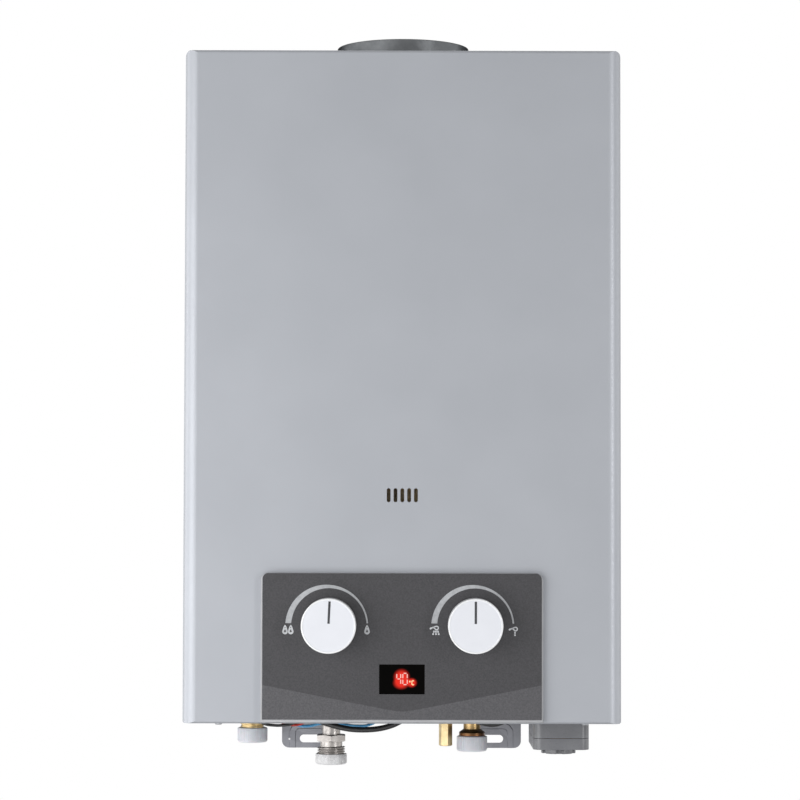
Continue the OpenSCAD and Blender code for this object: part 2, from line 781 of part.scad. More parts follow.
// Angle brackets between the back plate and the tray and hood
module core_brackets()
  color("#8f9193") {
    half = 9;
    rear_h = 16;
    front_h = 10;
    for (s = [-1, 1], z = [tray_z, chamber_top + 4]) translate([s * bracket_x, 0, z]) {
      block([-half, -core_back, 0], [half, -plate_t, sheet_t]);
      block([-half, -plate_t - sheet_t, 0], [half, -plate_t, rear_h]);
      block([-half, -core_back, 0], [half, -core_back + sheet_t, front_h]);
    }
  }

module combustion_chamber()
  color("#b87347") difference() {
    block([-chamber_w / 2, core_front, chamber_z], [chamber_w / 2, -core_back, chamber_top]);
    block([-chamber_w / 2 + chamber_t, core_front + chamber_t, chamber_z - cut],
          [chamber_w / 2 - chamber_t, -core_back - chamber_t, chamber_top + cut]);
    for (i = [-2 : 2])
      bar_x(core_y + i * tube_pitch, tube_z, -chamber_w, chamber_w, pipe_d + 2 * run_gap);
    for (s = [-1, 1])
      bar_y(s * electrode_x, electrode_z, core_front - cut, core_front + chamber_t + cut,
            electrode_d + 2 * run_gap);
    upright(core_front + chamber_t + cut, chamber_t + 2 * cut) translate([0, slot_z])
      square([sight_w, slot_h + 1], center = true);
  }

module sight_window()
  color("#c9c2a8") upright(core_front, mica_t) translate([0, slot_z])
    rounded(sight_w + 8, slot_h + 8, 2);

module exchanger_fins()
  color("#b87347") {
    step = (chamber_w - 2 * chamber_t - 4) / (fin_count - 1);
    fin_d = chamber_d - 2 * chamber_t - 0.6;
    for (i = [0 : fin_count - 1])
      sideways((i - (fin_count - 1) / 2) * step - fin_t / 2, fin_t) difference() {
        translate([core_y, tube_z]) square([fin_d, fin_h], center = true);
        for (k = [-2 : 2])
          translate([core_y + k * tube_pitch, tube_z]) circle(d = pipe_d + 2 * run_gap);
      }
  }

// Five passes through the fins, in at the front right and out at the back left
module exchanger_tubes()
  color("#a8623a") {
    turn_x = chamber_w / 2 + tube_stub + tube_pitch / 2;
    end_x = chamber_w / 2 + tube_stub;
    passes = [
      for (i = [0 : 4]) let (y = core_y + (i - 2) * tube_pitch, s = i % 2 == 0 ? 1 : -1)
        each [[i == 0 ? end_x : s * turn_x, y, tube_z], [i == 4 ? -end_x : -s * turn_x, y, tube_z]]
    ];
    pipe(passes, pipe_d, pipe_wall, tube_pitch / 2);
  }

// From the water valve up, once round the chamber and on to the first tube
module cold_pipe()
  color("#b0683e") {
    start_x = water_x + water_w / 4;
    coil_z = chamber_z + 50;
    cross_z = coil_z + 60;
    front_y = core_front - coil_off;
    rear_y = -core_back + coil_off;
    pipe([
      [start_x, valve_axis_y, water_high], [start_x, valve_axis_y, water_high + pipe_bend + 7],
      [coil_x, valve_axis_y, water_high + pipe_bend + 7], [coil_x, valve_axis_y, coil_z],
      [coil_x, front_y, coil_z], [-coil_x, front_y, coil_z], [-coil_x, rear_y, coil_z],
      [riser_x, rear_y, coil_z], [riser_x, rear_y, cross_z], [riser_x, first_tube_y, cross_z],
      [riser_x, first_tube_y, tube_z], [chamber_w / 2 + tube_stub, first_tube_y, tube_z]
    ], pipe_d, pipe_wall, pipe_bend);
  }

outlet_top = 24;
module hot_pipe()
  color("#b0683e") pipe([
    [-chamber_w / 2 - tube_stub, last_tube_y, tube_z], [outlet_x, last_tube_y, tube_z],
    [outlet_x, last_tube_y, outlet_top]
  ], pipe_d, pipe_wall, pipe_bend);

module overheat_switch()
  color("#d8d2c4") {
    z = chamber_top - fin_h - 30;
    disc_t = 6;
    tag_l = 6;
    bar_x(core_y, z, -chamber_w / 2 - disc_t, -chamber_w / 2, 17);
    for (s = [-1, 1])
      translate([-chamber_w / 2 - disc_t - tag_l, core_y + s * 4 - 0.4, z - 2]) cube([tag_l, 0.8, 4]);
  }

// Frame under the chamber, with a rail at the front and the back for the bars
rail_d = 12;
rail_t = 2;
module burner_tray()
  color("#8f9193") difference() {
    block([-chamber_w / 2, core_front, tray_z], [chamber_w / 2, -core_back, chamber_z]);
    block([-chamber_w / 2 + sheet_t, core_front + sheet_t, tray_z + rail_t],
          [chamber_w / 2 - sheet_t, -core_back - sheet_t, chamber_z + cut]);
    block([-chamber_w / 2 + sheet_t, core_front + rail_d, tray_z - cut],
          [chamber_w / 2 - sheet_t, -core_back - rail_d, tray_z + rail_t + cut]);
    for (i = [0 : bar_count - 1])
      bar_y((i - (bar_count - 1) / 2) * bar_pitch, manifold_z, core_front - cut, core_front + sheet_t + cut,
            nozzle_d + 3);
  }

// Each hollow bar has a row of flame ports along its top and a mouth that faces its nozzle
module burner_bars()
  color("#8c8478") {
    bar_front = core_front + 6;
    bar_back = -core_back - 4;
    bar_low = tray_z + rail_t;
    bar_high = chamber_z - 4;
    bar_t = 1.2;
    ports = 11;
    port_w = 1.2;
    port_h = 4;
    port_step = (bar_back - bar_front) / (ports + 1);
    for (i = [0 : bar_count - 1]) {
      x = (i - (bar_count - 1) / 2) * bar_pitch;
      difference() {
        sideways(x - bar_w / 2, bar_w) difference() {
          translate([bar_front, bar_low]) square([bar_back - bar_front, bar_high - bar_low]);
          for (k = [1 : ports])
            translate([bar_front + k * port_step - port_w / 2, bar_high - port_h])
              square([port_w, port_h + cut]);
        }
        block([x - bar_w / 2 + bar_t, bar_front + bar_t, bar_low + bar_t],
              [x + bar_w / 2 - bar_t, bar_back - bar_t, bar_high - 2 * bar_t]);
        bar_y(x, manifold_z, bar_front - cut, bar_front + bar_t + cut, nozzle_d + 1.4);
      }
    }
  }

// Square manifold with one nozzle for each bar
module gas_manifold()
  color("#a3a5a6") {
    half = manifold_s / 2;
    long = (bar_count - 1) / 2 * bar_pitch + 9;
    block([-long, manifold_y - half, manifold_z - half], [long, manifold_y + half, manifold_z + half]);
    for (i = [0 : bar_count - 1])
      bar_y((i - (bar_count - 1) / 2) * bar_pitch, manifold_z, manifold_y, core_front + 5, nozzle_d);
  }

module gas_riser()
  color("#a3a5a6") {
    feed_y = valve_axis_y - 8;
    low_z = gas_high + (manifold_z - manifold_s / 2 - gas_high) / 2;
    bend = min(8, (manifold_z - manifold_s / 2 - gas_high) / 2 - 0.5);
    pipe([
      [gas_x, feed_y, gas_high], [gas_x, feed_y, low_z], [gas_x, manifold_y, low_z],
      [gas_x, manifold_y, manifold_z - manifold_s / 2]
    ], feed_d, feed_wall, bend);
  }

// A ceramic rod with a wire that reaches over the burner
module electrode(s) {
  x = s * electrode_x;
  rod_front = core_front - 9;
  rod_back = core_front + 10;
  bar_y(x, electrode_z, rod_front, rod_back, electrode_d);
  bar_y(x, electrode_z, rod_back, rod_back + 20, electrode_d / 3);
  bar_y(x, electrode_z, rod_front - 4, rod_front, electrode_d / 2);
}
module ignition_electrode() color("#e9e4da") electrode(-1);
module flame_sensor() color("#e9e4da") electrode(1);

module gas_valve_body()
  color("#a4a6a8") difference() {
    union() {
      block([gas_x - gas_w / 2, valve_front, gas_low + boss_h], [gas_right, valve_back, gas_high]);
      translate([gas_x, valve_axis_y, gas_low]) cylinder(d = gas_tube_d + 6, h = boss_h);
    }
    bar_y(gas_x, knob_z, valve_front - cut, valve_front + bore_depth, spindle_d + 2 * run_gap);
    bar_x(valve_axis_y, knob_z, gas_right - 12, gas_right + cut, rod_d + 2 * run_gap);
  }

// Tube, hexagon, collar and thread of the gas connection
gas_neck_z = -gas_drop + 10;
gas_neck_h = 4;
gas_hex_h = 4.6;
gas_pitch = 1.6;
gas_cap_floor = 1.1;
gas_cap_h = 7;
module gas_inlet()
  color("#d0cbca") translate([gas_x, valve_axis_y, 0]) difference() {
    union() {
      translate([0, 0, gas_neck_z]) cylinder(d = gas_tube_d, h = gas_low - gas_neck_z);
      hexagon(gas_hex, gas_neck_z + gas_neck_h, gas_neck_z + gas_neck_h + gas_hex_h);
      translate([0, 0, gas_neck_z]) cylinder(d = gas_tube_d + 2.7, h = gas_neck_h);
      thread(gas_thread_d, -gas_drop, gas_neck_z, gas_pitch);
    }
    translate([0, 0, -gas_drop - cut]) cylinder(d = gas_tube_d - 4, h = gas_drop + gas_low - 4);
  }

module gas_cap()
  color("#d1d1d2") translate([gas_x, valve_axis_y, -gas_drop - gas_cap_floor - cap_gap]) difference() {
    cylinder(d = gas_cap_d, h = gas_cap_h);
    translate([0, 0, gas_cap_floor]) cylinder(d = gas_thread_d + 2 * cap_gap, h = gas_cap_h);
  }

module solenoid()
  color("#3b3d40") {
    solenoid_x = gas_x - gas_w / 2;
    coil_l = 20;
    bar_x(valve_axis_y, knob_z, solenoid_x - coil_l, solenoid_x, 22);
    bar_x(valve_axis_y, knob_z, solenoid_x - coil_l - 3, solenoid_x - coil_l, 9);
  }

module gland_nuts()
  color("#b9a05f") for (x = [gas_x, water_x])
    translate([x, valve_front, knob_z]) rotate([90, 0, 0]) difference() {
      cylinder(d = spindle_d + 2 * nut_rim, h = nut_h, $fn = 6);
      translate([0, 0, -cut]) cylinder(d = spindle_d + 2 * pass_gap, h = nut_h + 2 * cut);
    }

// Open frames that hold the two valve bodies off the back plate
module valve_brackets()
  color("#8f9193") for (x = [gas_x, water_x]) difference() {
    block([x - frame_w / 2, valve_back, knob_z - frame_h / 2],
          [x + frame_w / 2, -plate_t, knob_z + frame_h / 2]);
    block([x - frame_w / 2 + sheet_t, valve_back + sheet_t, knob_z - frame_h / 2 - cut],
          [x + frame_w / 2 - sheet_t, -plate_t - sheet_t, knob_z + frame_h / 2 + cut]);
  }

// Six screw places round the diaphragm
module screw_places()
  for (a = [0 : 60 : 300])
    translate([0, valve_axis_y + screw_ring * cos(a), knob_z + screw_ring * sin(a)]) children();

module water_valve_body()
  color("#b08d4a") difference() {
    union() {
      block([water_left, valve_front, water_low + boss_h],
            [water_left + water_w, valve_back, water_high]);
      translate([water_x, valve_axis_y, water_low]) cylinder(d = inlet_stub_d + 5, h = boss_h);
      translate([water_x - drain_gap, valve_axis_y, water_low]) cylinder(d = drain_hex + 4, h = boss_h);
      bar_x(valve_axis_y, knob_z, water_left - neck_l, water_left, 28);
      bar_x(valve_axis_y, knob_z, flange_x, flange_x + flange_t, diaphragm_d);
    }
    bar_y(water_x, knob_z, valve_front - cut, valve_front + bore_depth, spindle_d + 2 * run_gap);
    screw_places() bar_x(0, 0, flange_x - cut, flange_x + flange_t + cut, ring_hole_d);
  }

module diaphragm()
  color("#26262a") difference() {
    bar_x(valve_axis_y, knob_z, housing_x, flange_x, diaphragm_d);
    screw_places() bar_x(0, 0, housing_x - cut, flange_x + cut, ring_hole_d);
  }

module diaphragm_cover()
  color("#a4a6a8") difference() {
    union() {
      bar_x(valve_axis_y, knob_z, housing_left, housing_x, diaphragm_d);
      bar_x(valve_axis_y, knob_z, housing_left - 4, housing_left, 12);
    }
    bar_x(valve_axis_y, knob_z, housing_left + housing_wall, housing_x + cut, diaphragm_d - 18);
    bar_x(valve_axis_y, knob_z, housing_left - 5, housing_x, rod_d + 2 * run_gap);
    screw_places() bar_x(0, 0, housing_left - cut, housing_x + cut, ring_hole_d);
  }

module valve_screws()
  color("#b7b9bb") screw_places() {
    bar_x(0, 0, housing_left, flange_x + flange_t + 2, ring_screw_d);
    bar_x(0, 0, housing_left - 2.2, housing_left, 5.6);
  }

// The rod has a plate on the diaphragm and a collar beside the microswitch lever
module push_rod()
  color("#c2c4c6") {
    rod_right = housing_x - pass_gap;
    rod_reach = 4;
    disc_t = 2;
    disc_d = 16;
    collar_t = 2.6;
    bar_x(valve_axis_y, knob_z, gas_right - rod_reach, rod_right, rod_d);
    bar_x(valve_axis_y, knob_z, rod_right - disc_t, rod_right, disc_d);
    bar_x(valve_axis_y, knob_z, collar_x, collar_x + collar_t, 2 * collar_r);
  }

// Switch block with two ears that carry the lever's pin
module microswitch()
  color("#2b2c2f") difference() {
    union() {
      block([gas_right, valve_axis_y - 6, lever_top - 15],
            [gas_right + switch_w, valve_axis_y + 6, gas_high]);
      for (s = [-1, 1])
        translate([gas_right, valve_axis_y + s * 5 - 1, lever_top - 2.4])
          cube([lever_x - gas_right + 2.8, 2, 4.8]);
    }
    bar_y(lever_x + lever_t / 2, lever_top, valve_axis_y - 8, valve_axis_y + 8, lever_pin_d + 2 * run_gap);
  }

module switch_lever()
  color("#c2c4c6") {
    bar_y(lever_x + lever_t / 2, lever_top, valve_axis_y - 6, valve_axis_y + 6, lever_pin_d);
    block([lever_x, valve_axis_y - 3, lever_low], [lever_x + lever_t, valve_axis_y + 3, lever_top]);
  }

// Spindle from inside a valve to the knob's hub
knob_face = 3;
module spindle(x)
  bar_y(x, knob_z, knob_front + knob_face + 0.3, valve_front + bore_depth - 1, spindle_d);
module gas_spindle() color("#b9bcbf") spindle(gas_x);
module water_spindle() color("#b9bcbf") spindle(water_x);

// Knob turned about its own axis: a shell with a flat face, a hub and a groove for the pointer
knob_edge_r = 1.2;
knob_wall = 2.2;
pointer_deep = 0.5;
module pointer_shape(extra)
  translate([-pointer_w / 2 - extra, knob_d / 2 - 1.6 - pointer_l - extra])
    square([pointer_w + 2 * extra, pointer_l + 2 * extra]);

module knob(x)
  difference() {
    translate([x, knob_back, knob_z]) rotate([90, 0, 0]) {
      rotate_extrude() {
        translate([0, knob_h - knob_face]) square([knob_d / 2 - knob_edge_r, knob_face]);
        translate([knob_d / 2 - knob_wall, 0]) square([knob_wall, knob_h - knob_edge_r]);
        translate([knob_d / 2 - knob_edge_r, knob_h - knob_edge_r]) circle(knob_edge_r);
        translate([spindle_d / 2 + run_gap, 0]) square([3, knob_h - knob_face + 0.1]);
      }
    }
    upright(knob_front + pointer_deep, pointer_deep + cut) translate([x, knob_z]) pointer_shape(0.05);
  }
module pointer(x)
  upright(knob_front + pointer_deep, pointer_deep) translate([x, knob_z]) pointer_shape(0);
module gas_knob() color("#edeff5") knob(gas_x);
module water_knob() color("#edeff5") knob(water_x);
module gas_pointer() color("#2e2f33") pointer(gas_x);
module water_pointer() color("#2e2f33") pointer(water_x);

// Stub, flare, collar and thread of the cold water connection
inlet_collar = inlet_drop - 8.8;
flare_h = 2.6;
water_pitch = 1.34;
module inlet_fitting()
  color("#b8934c") translate([water_x, valve_axis_y, 0]) difference() {
    union() {
      translate([0, 0, -inlet_collar]) cylinder(d = inlet_stub_d, h = water_low + inlet_collar);
      translate([0, 0, -inlet_collar]) cylinder(d = inlet_thread_d + 1, h = flare_h);
      translate([0, 0, -inlet_collar + flare_h])
        cylinder(d1 = inlet_thread_d + 1, d2 = inlet_stub_d, h = 2);
      thread(inlet_thread_d, -inlet_drop, -inlet_collar, water_pitch);
    }
    translate([0, 0, -inlet_drop - cut]) cylinder(d = inlet_stub_d - 3, h = inlet_drop + water_low - 3);
  }

// Ribbed transit cap that closes a water thread, drawn with its open end up
cap_floor = 1.6;
rib_depth = 0.5;
rib_count = 30;
module water_cap(h, thread_d) difference() {
  linear_extrude(h) polygon(ribbed(cap_d, rib_depth, rib_count));
  translate([0, 0, cap_floor - cap_gap]) cylinder(d = thread_d + 2 * cap_gap, h = h);
}
module inlet_cap()
  color("#c6c8ce") translate([water_x, valve_axis_y, -inlet_drop - cap_floor])
    water_cap(inlet_drop - inlet_collar + cap_floor - seam_gap, inlet_thread_d);

drain_turn = 20;
module drain_stub()
  color("#b8934c") translate([water_x - drain_gap, valve_axis_y, 0]) difference() {
    rotate(drain_turn) hexagon(drain_hex, -drain_drop, water_low);
    translate([0, 0, -drain_drop - cut]) cylinder(d = 3, h = 10 + cut);
  }

// Hexagon on the base plate with the hot water thread below it
outlet_plain = 2;
outlet_hex_h = 8;
outlet_cap_h = 9.9;
module outlet_fitting()
  color("#b8934c") translate([outlet_x, last_tube_y, 0]) difference() {
    union() {
      hexagon(outlet_thread_d + 4, base_top, base_top + outlet_hex_h);
      translate([0, 0, base_top]) cylinder(d = pipe_d + 5, h = outlet_top - base_top);
      translate([0, 0, -outlet_plain]) cylinder(d = outlet_thread_d, h = base_top + outlet_plain);
      thread(outlet_thread_d, -outlet_drop, -outlet_plain, water_pitch);
    }
    translate([0, 0, -outlet_drop - cut])
      cylinder(d = pipe_d - 2 * pipe_wall, h = outlet_drop + outlet_top + 2 * cut);
  }
module outlet_cap()
  color("#c6c8ce") translate([outlet_x, last_tube_y, -outlet_drop - cap_floor])
    water_cap(outlet_cap_h, outlet_thread_d);

module igniter_box()
  color("#dfe0e2") translate([igniter_right - igniter_w / 2, -plate_t - igniter_d / 2, igniter_z])
    linear_extrude(igniter_h) rounded(igniter_w, igniter_d, 2);

// Rocker switch housing that snaps into the base plate from below
rocker_pin_z = base_top + 2;
frame_t = 1.2;
pin_d = 3;
pin_l = rocker_d + 2.4;
module power_switch()
  color("#1d1d1f") difference() {
    union() {
      translate([power_x, switch_y, base_z]) linear_extrude(17)
        square([rocker_w + 4.4, rocker_d + 3.2], center = true);
      translate([power_x, switch_y, base_z - frame_t]) linear_extrude(frame_t)
        rounded(rocker_w + 8, rocker_d + 7, 1);
    }
    translate([power_x, switch_y, base_z - 2]) linear_extrude(10)
      square([rocker_w + 2.4, rocker_d + 0.8], center = true);
    bar_y(power_x, rocker_pin_z, switch_y - pin_l / 2 - run_gap, switch_y + pin_l / 2 + run_gap,
          pin_d + 2 * run_gap);
  }

// Rocker with a shallow roof-shaped underside, resting tipped to its off side
module switch_rocker()
  color("#232326") translate([power_x, switch_y, rocker_pin_z]) rotate([0, -rocker_tip, 0]) {
    upright(rocker_d / 2, rocker_d)
      polygon([[-rocker_w / 2, -4.2], [0, -5.2], [rocker_w / 2, -4.2], [rocker_w / 2, 0], [0, 2.5],
               [-rocker_w / 2, 0]]);
    bar_y(0, 0, -pin_l / 2, pin_l / 2, pin_d);
  }

module usb_socket()
  color("#9c9ea1") translate([usb_x, switch_y, base_top]) difference() {
    linear_extrude(10) rounded(12, 8, 1);
    translate([0, 0, -cut]) linear_extrude(7) square([7.6, 2.8], center = true);
  }

module box_outline(inset)
  translate([battery_x, battery_y]) rounded(box_w - 2 * inset, box_d - 2 * inset, box_r - inset);

// Box with its open end down, hung by a flange on the base plate
module battery_box()
  color("#6b6c70") difference() {
    union() {
      translate([0, 0, -seam_drop]) linear_extrude(box_top + seam_drop) box_outline(0);
      translate([0, 0, base_top]) linear_extrude(2) box_outline(-box_flange);
    }
    translate([0, 0, -seam_drop - cut]) linear_extrude(box_in_top + seam_drop + cut) box_outline(box_t);
  }

module battery_cells()
  color("#3d5a80") for (s = [-1, 1])
    translate([battery_x, battery_y + s * (cell_d + cell_gap) / 2, cell_z]) {
      cylinder(d = cell_d, h = cell_l - 1.5);
      cylinder(d = 9.5, h = cell_l);
    }

// Cup-shaped lid with four corner posts that guide it into the box
module battery_lid()
  color("#737679") difference() {
    union() {
      difference() {
        translate([0, 0, -lid_drop]) linear_extrude(lid_drop - seam_drop - seam_gap) box_outline(0);
        translate([0, 0, -lid_drop + lid_floor]) linear_extrude(lid_drop) box_outline(box_t);
      }
      intersection() {
        translate([0, 0, -lid_drop + lid_floor / 2]) linear_extrude(lid_drop - seam_drop + 4)
          box_outline(box_t + seam_gap);
        for (sx = [-1, 1], sy = [-1, 1])
          translate([battery_x + sx * box_w / 2, battery_y + sy * box_d / 2, -lid_drop])
            cylinder(r = box_r, h = lid_drop);
      }
    }
    translate([battery_x, battery_y, -lid_drop - cut])
      cylinder(d = lock_pin_d + 2 * run_gap, h = lid_floor + 2 * cut);
  }

// Notched grip under the lid, on a pin that holds it from inside
lock_pin_d = 8;
notch_count = 6;
notch_w = 3.6;
notch_deep = 1.6;
notch_web = 0.8;
module battery_lock()
  color("#6f7174") translate([battery_x, battery_y, -lid_drop]) {
    translate([0, 0, -seam_gap - lock_h]) difference() {
      cylinder(d = lock_d, h = lock_h);
      for (a = [30 : 360 / notch_count : 330])
        rotate(a) translate([lock_d / 2 - notch_deep, -notch_w / 2, -cut])
          cube([notch_deep + cut, notch_w, lock_h - notch_web + cut]);
    }
    translate([0, 0, -seam_gap]) cylinder(d = lock_pin_d, h = lid_floor + 2 * seam_gap);
    translate([0, 0, lid_floor + seam_gap]) cylinder(d = lock_pin_d + 5, h = 1);
  }

module wire_sleeve() color("#1b1b1d") wire(led(sleeve_route), sleeve_d);
module wire_black() color("#202022") wire(led(black_route), wire_d);
module wire_blue() color("#3a7ab0") wire(led(blue_route), wire_d);
module wire_red() color("#b5342c") wire(led(red_route), wire_d);

back_plate();
base_plate();
front_cover();
cover_screws();
panel_base();
panel_film();
display_window();
display_board();
flue_hood();
flue_collar();
core_brackets();
combustion_chamber();
sight_window();
exchanger_fins();
exchanger_tubes();
cold_pipe();
hot_pipe();
overheat_switch();
burner_tray();
burner_bars();
gas_manifold();
gas_riser();
ignition_electrode();
flame_sensor();
gas_valve_body();
gas_inlet();
solenoid();
gland_nuts();
valve_brackets();
water_valve_body();
diaphragm();
diaphragm_cover();
valve_screws();
inlet_fitting();
drain_stub();
outlet_fitting();
microswitch();
igniter_box();
power_switch();
usb_socket();
battery_box();
battery_cells();
wire_sleeve();
wire_black();
wire_blue();
wire_red();
gas_knob();
gas_pointer();
gas_spindle();
water_knob();
water_pointer();
water_spindle();
push_rod();
switch_lever();
switch_rocker();
battery_lid();
battery_lock();
outlet_cap();
inlet_cap();
gas_cap();
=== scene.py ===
# %% [markdown]
# # A wall-hung gas water heater
# The CAD frame already holds every rigid piece at its real size. This lesson dresses it: it sets up the camera of
# the photograph, lays the wires, lights the scene, mixes the finishes, and then models by hand the small pieces
# that the eye goes to first: the knobs, the print on the panel, the display, the caps and the fittings.

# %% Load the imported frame
import json
import math
import bmesh
import bpy
from mathutils import Matrix, Vector
from mathutils.geometry import interpolate_bezier


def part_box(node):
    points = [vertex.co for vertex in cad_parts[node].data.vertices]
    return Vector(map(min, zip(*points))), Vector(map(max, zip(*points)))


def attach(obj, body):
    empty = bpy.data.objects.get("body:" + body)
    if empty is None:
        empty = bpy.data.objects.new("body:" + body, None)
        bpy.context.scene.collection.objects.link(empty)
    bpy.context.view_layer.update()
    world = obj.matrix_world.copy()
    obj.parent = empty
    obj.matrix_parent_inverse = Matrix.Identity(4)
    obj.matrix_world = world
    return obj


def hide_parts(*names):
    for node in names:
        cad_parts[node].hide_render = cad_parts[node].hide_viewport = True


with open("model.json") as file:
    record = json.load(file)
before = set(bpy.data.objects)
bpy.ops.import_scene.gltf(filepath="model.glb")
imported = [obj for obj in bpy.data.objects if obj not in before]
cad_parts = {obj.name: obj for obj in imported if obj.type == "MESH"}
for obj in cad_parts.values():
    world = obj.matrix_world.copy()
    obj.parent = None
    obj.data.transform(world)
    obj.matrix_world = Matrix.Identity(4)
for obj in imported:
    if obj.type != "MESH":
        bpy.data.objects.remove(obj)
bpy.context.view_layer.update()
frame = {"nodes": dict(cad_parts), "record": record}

MM = 0.001
cad = frame["nodes"]
slot_of = {part["node"]: part["material_slot"] for part in frame["record"]["subparts"]}
scene = bpy.context.scene

# %% [markdown]
# ## The camera
# The photograph was taken from about two metres, a little below the middle of the heater, with a long lens. The
# place, tilt and lens come from fitting the casing's corners and the knobs to their pixels. A long lens keeps the
# upright edges nearly parallel, and the small tilt upwards is what shows the fittings under the casing.

# %% Camera
eye = bpy.data.cameras.new("camera")
eye.sensor_fit = "HORIZONTAL"
eye.sensor_width = 36
eye.lens = 123.3
camera = bpy.data.objects.new("camera", eye)
scene.collection.objects.link(camera)
camera.matrix_world = (Matrix.Translation((-3.33 * MM, -1936 * MM, 140.16 * MM))
                       @ Matrix.Rotation(math.radians(-0.053), 4, "Z")
                       @ Matrix.Rotation(math.radians(92.314), 4, "X")
                       @ Matrix.Rotation(math.radians(0.125), 4, "Z"))
scene.camera = camera
scene.view_settings.view_transform = "Standard"
print("camera at", [round(v, 3) for v in camera.location])

# %% [markdown]
# ## The wires
# Four leads leave the igniter box on the left. One is a black sleeve that crosses the whole width, sagging twice
# below the casing, and ends at the battery box. Each lead is one open Bezier curve with a round bevel. The handles
# are set one by one from the neighbouring points, so that the curve stays smooth and its length can be measured. The
# bevel is 1 and every point carries the lead's own radius: a point's radius counts in the curve's box, so this keeps
# the box as small as the lead.

# %% Wires
ROUTES = {
    "wire_sleeve": (3.8, "medium", [
        (87.8, -92, 12), (81.8, -92, 12), (76, -95, 5), (69, -97, 0), (61, -97, -2.4), (52, -97, -0.8),
        (43, -97, 2.6), (32, -97, 6), (21, -97, 7), (11, -97, 5), (2, -97, 1), (-6, -97, -3), (-15, -97, -5.4),
        (-25, -97, -6.2), (-35, -97, -5.7), (-45, -97, -3.6), (-54, -97, -0.6), (-63, -97, 5), (-72, -95, 10),
        (-82, -89, 14), (-92, -79, 16), (-102, -67, 17), (-110, -54, 18), (-116, -40, 19), (-119, -30, 22),
        (-119, -27, 26), (-119, -27, 30)]),
    "wire_black": (2.0, "limp", [
        (-124, -23, 30), (-124, -23, 24), (-123, -31, 17), (-120, -46, 14), (-114, -64, 12.5), (-107, -79, 10.5),
        (-102, -86, 8), (-97, -90, 1.2), (-92, -91, -2.8), (-86, -91, -3.8), (-80, -91, -3.8), (-73, -91, -2.4),
        (-67, -89, 4), (-63, -84, 13), (-62, -78, 24), (-62, -74, 33), (-62, -74, 39)]),
    "wire_blue": (2.0, "limp", [
        (-133, -12, 30), (-133, -12, 14), (-132, -24, 7), (-128, -48, 5), (-119, -68, 5), (-108, -79, 5),
        (-96, -82, 4), (-85, -83, 1.5), (-76, -83, -2), (-69, -83, -4.6), (-62, -83, -4.8), (-54, -83, -3),
        (-46, -83, -2.6), (-38, -83, -4), (-30, -83, -4.6), (-22, -83, -4), (-16, -83, 0), (-16, -82, 10),
        (-21, -78, 21), (-28, -75, 30), (-30, -74, 35), (-30, -74, 39)]),
    "wire_red": (2.0, "limp", [
        (-129, -18, 30), (-129, -18, 20), (-128, -27, 13), (-123, -48, 9.5), (-116, -68, 8.6), (-107, -80.5, 7.6),
        (-96, -86, 4), (-86, -87, 0), (-78, -87, -2.8), (-71, -87, -3.8), (-65, -86, -1.6), (-59, -84, 5),
        (-55, -79, 16), (-54, -74, 27), (-54, -72, 34), (-54, -72, 39)]),
}


def lay_wire(name, thick, stiffness, route):
    """One lead as a smooth curve through its points, standing for its CAD tube."""
    points = [Vector(p) * MM for p in route]
    curve = bpy.data.curves.new(name + "_lead", "CURVE")
    curve.dimensions = "3D"
    curve.bevel_depth = 1
    curve.bevel_resolution = 4
    curve.resolution_u = 10
    curve.use_fill_caps = True
    spline = curve.splines.new("BEZIER")
    spline.bezier_points.add(len(points) - 1)
    for i, (knot, p) in enumerate(zip(spline.bezier_points, points)):
        before, after = points[max(i - 1, 0)], points[min(i + 1, len(points) - 1)]
        way = (after - before).normalized()
        knot.handle_left_type = knot.handle_right_type = "FREE"
        knot.co, knot.radius = p, thick / 2 * MM
        knot.handle_left = p - way * (p - before).length / 3
        knot.handle_right = p + way * (after - p).length / 3
    for a, b in zip(spline.bezier_points, spline.bezier_points[1:]):
        steps = interpolate_bezier(a.co, a.handle_right, b.handle_left, b.co, 24)
    lead = bpy.data.objects.new(name + "_lead", curve)
    scene.collection.objects.link(lead)
    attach(lead, "chassis")
    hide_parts(name)
    return lead


leads = {name: lay_wire(name, *facts) for name, facts in ROUTES.items()}

# %% [markdown]
# ## Floor and light
# The heater hangs in front of pure white. The world is white for what the camera, reflections and see-through
# pieces look at, and dimmer for the light that falls on the object. A large soft lamp on the left and a narrow one
# on the right light the front and give the soft shadows to the right of the knobs. A lamp at each side lights the
# rounded edges, the left one more strongly, and a low lamp fills in the fittings. The floor lies well below the
# heater, out of the picture.


# %% Colour and node helpers
def linear(code):
    """An sRGB hex colour as linear red, green, blue and alpha."""
    values = [int(code[i:i + 2], 16) / 255 for i in (1, 3, 5)]
    return [v / 12.92 if v <= 0.04045 else ((v + 0.055) / 1.055) ** 2.4 for v in values] + [1.0]


def put(tree, kind, settings=None, **sockets):
    """Add one node; a socket takes a number, a colour, an output or a node whose first output is used."""
    node = tree.nodes.new("ShaderNode" + kind)
    for name, value in (settings or {}).items():
        setattr(node, name, value)
    for name, value in sockets.items():
        words = name.replace("_", " ")
        socket = node.inputs[int(name[1:])] if name[1:].isdigit() else node.inputs[words]
        if isinstance(value, bpy.types.Node):
            value = value.outputs[0]
        if isinstance(value, bpy.types.NodeSocket):
            tree.links.new(value, socket)
        else:
            socket.default_value = linear(value) if isinstance(value, str) else value
    return node


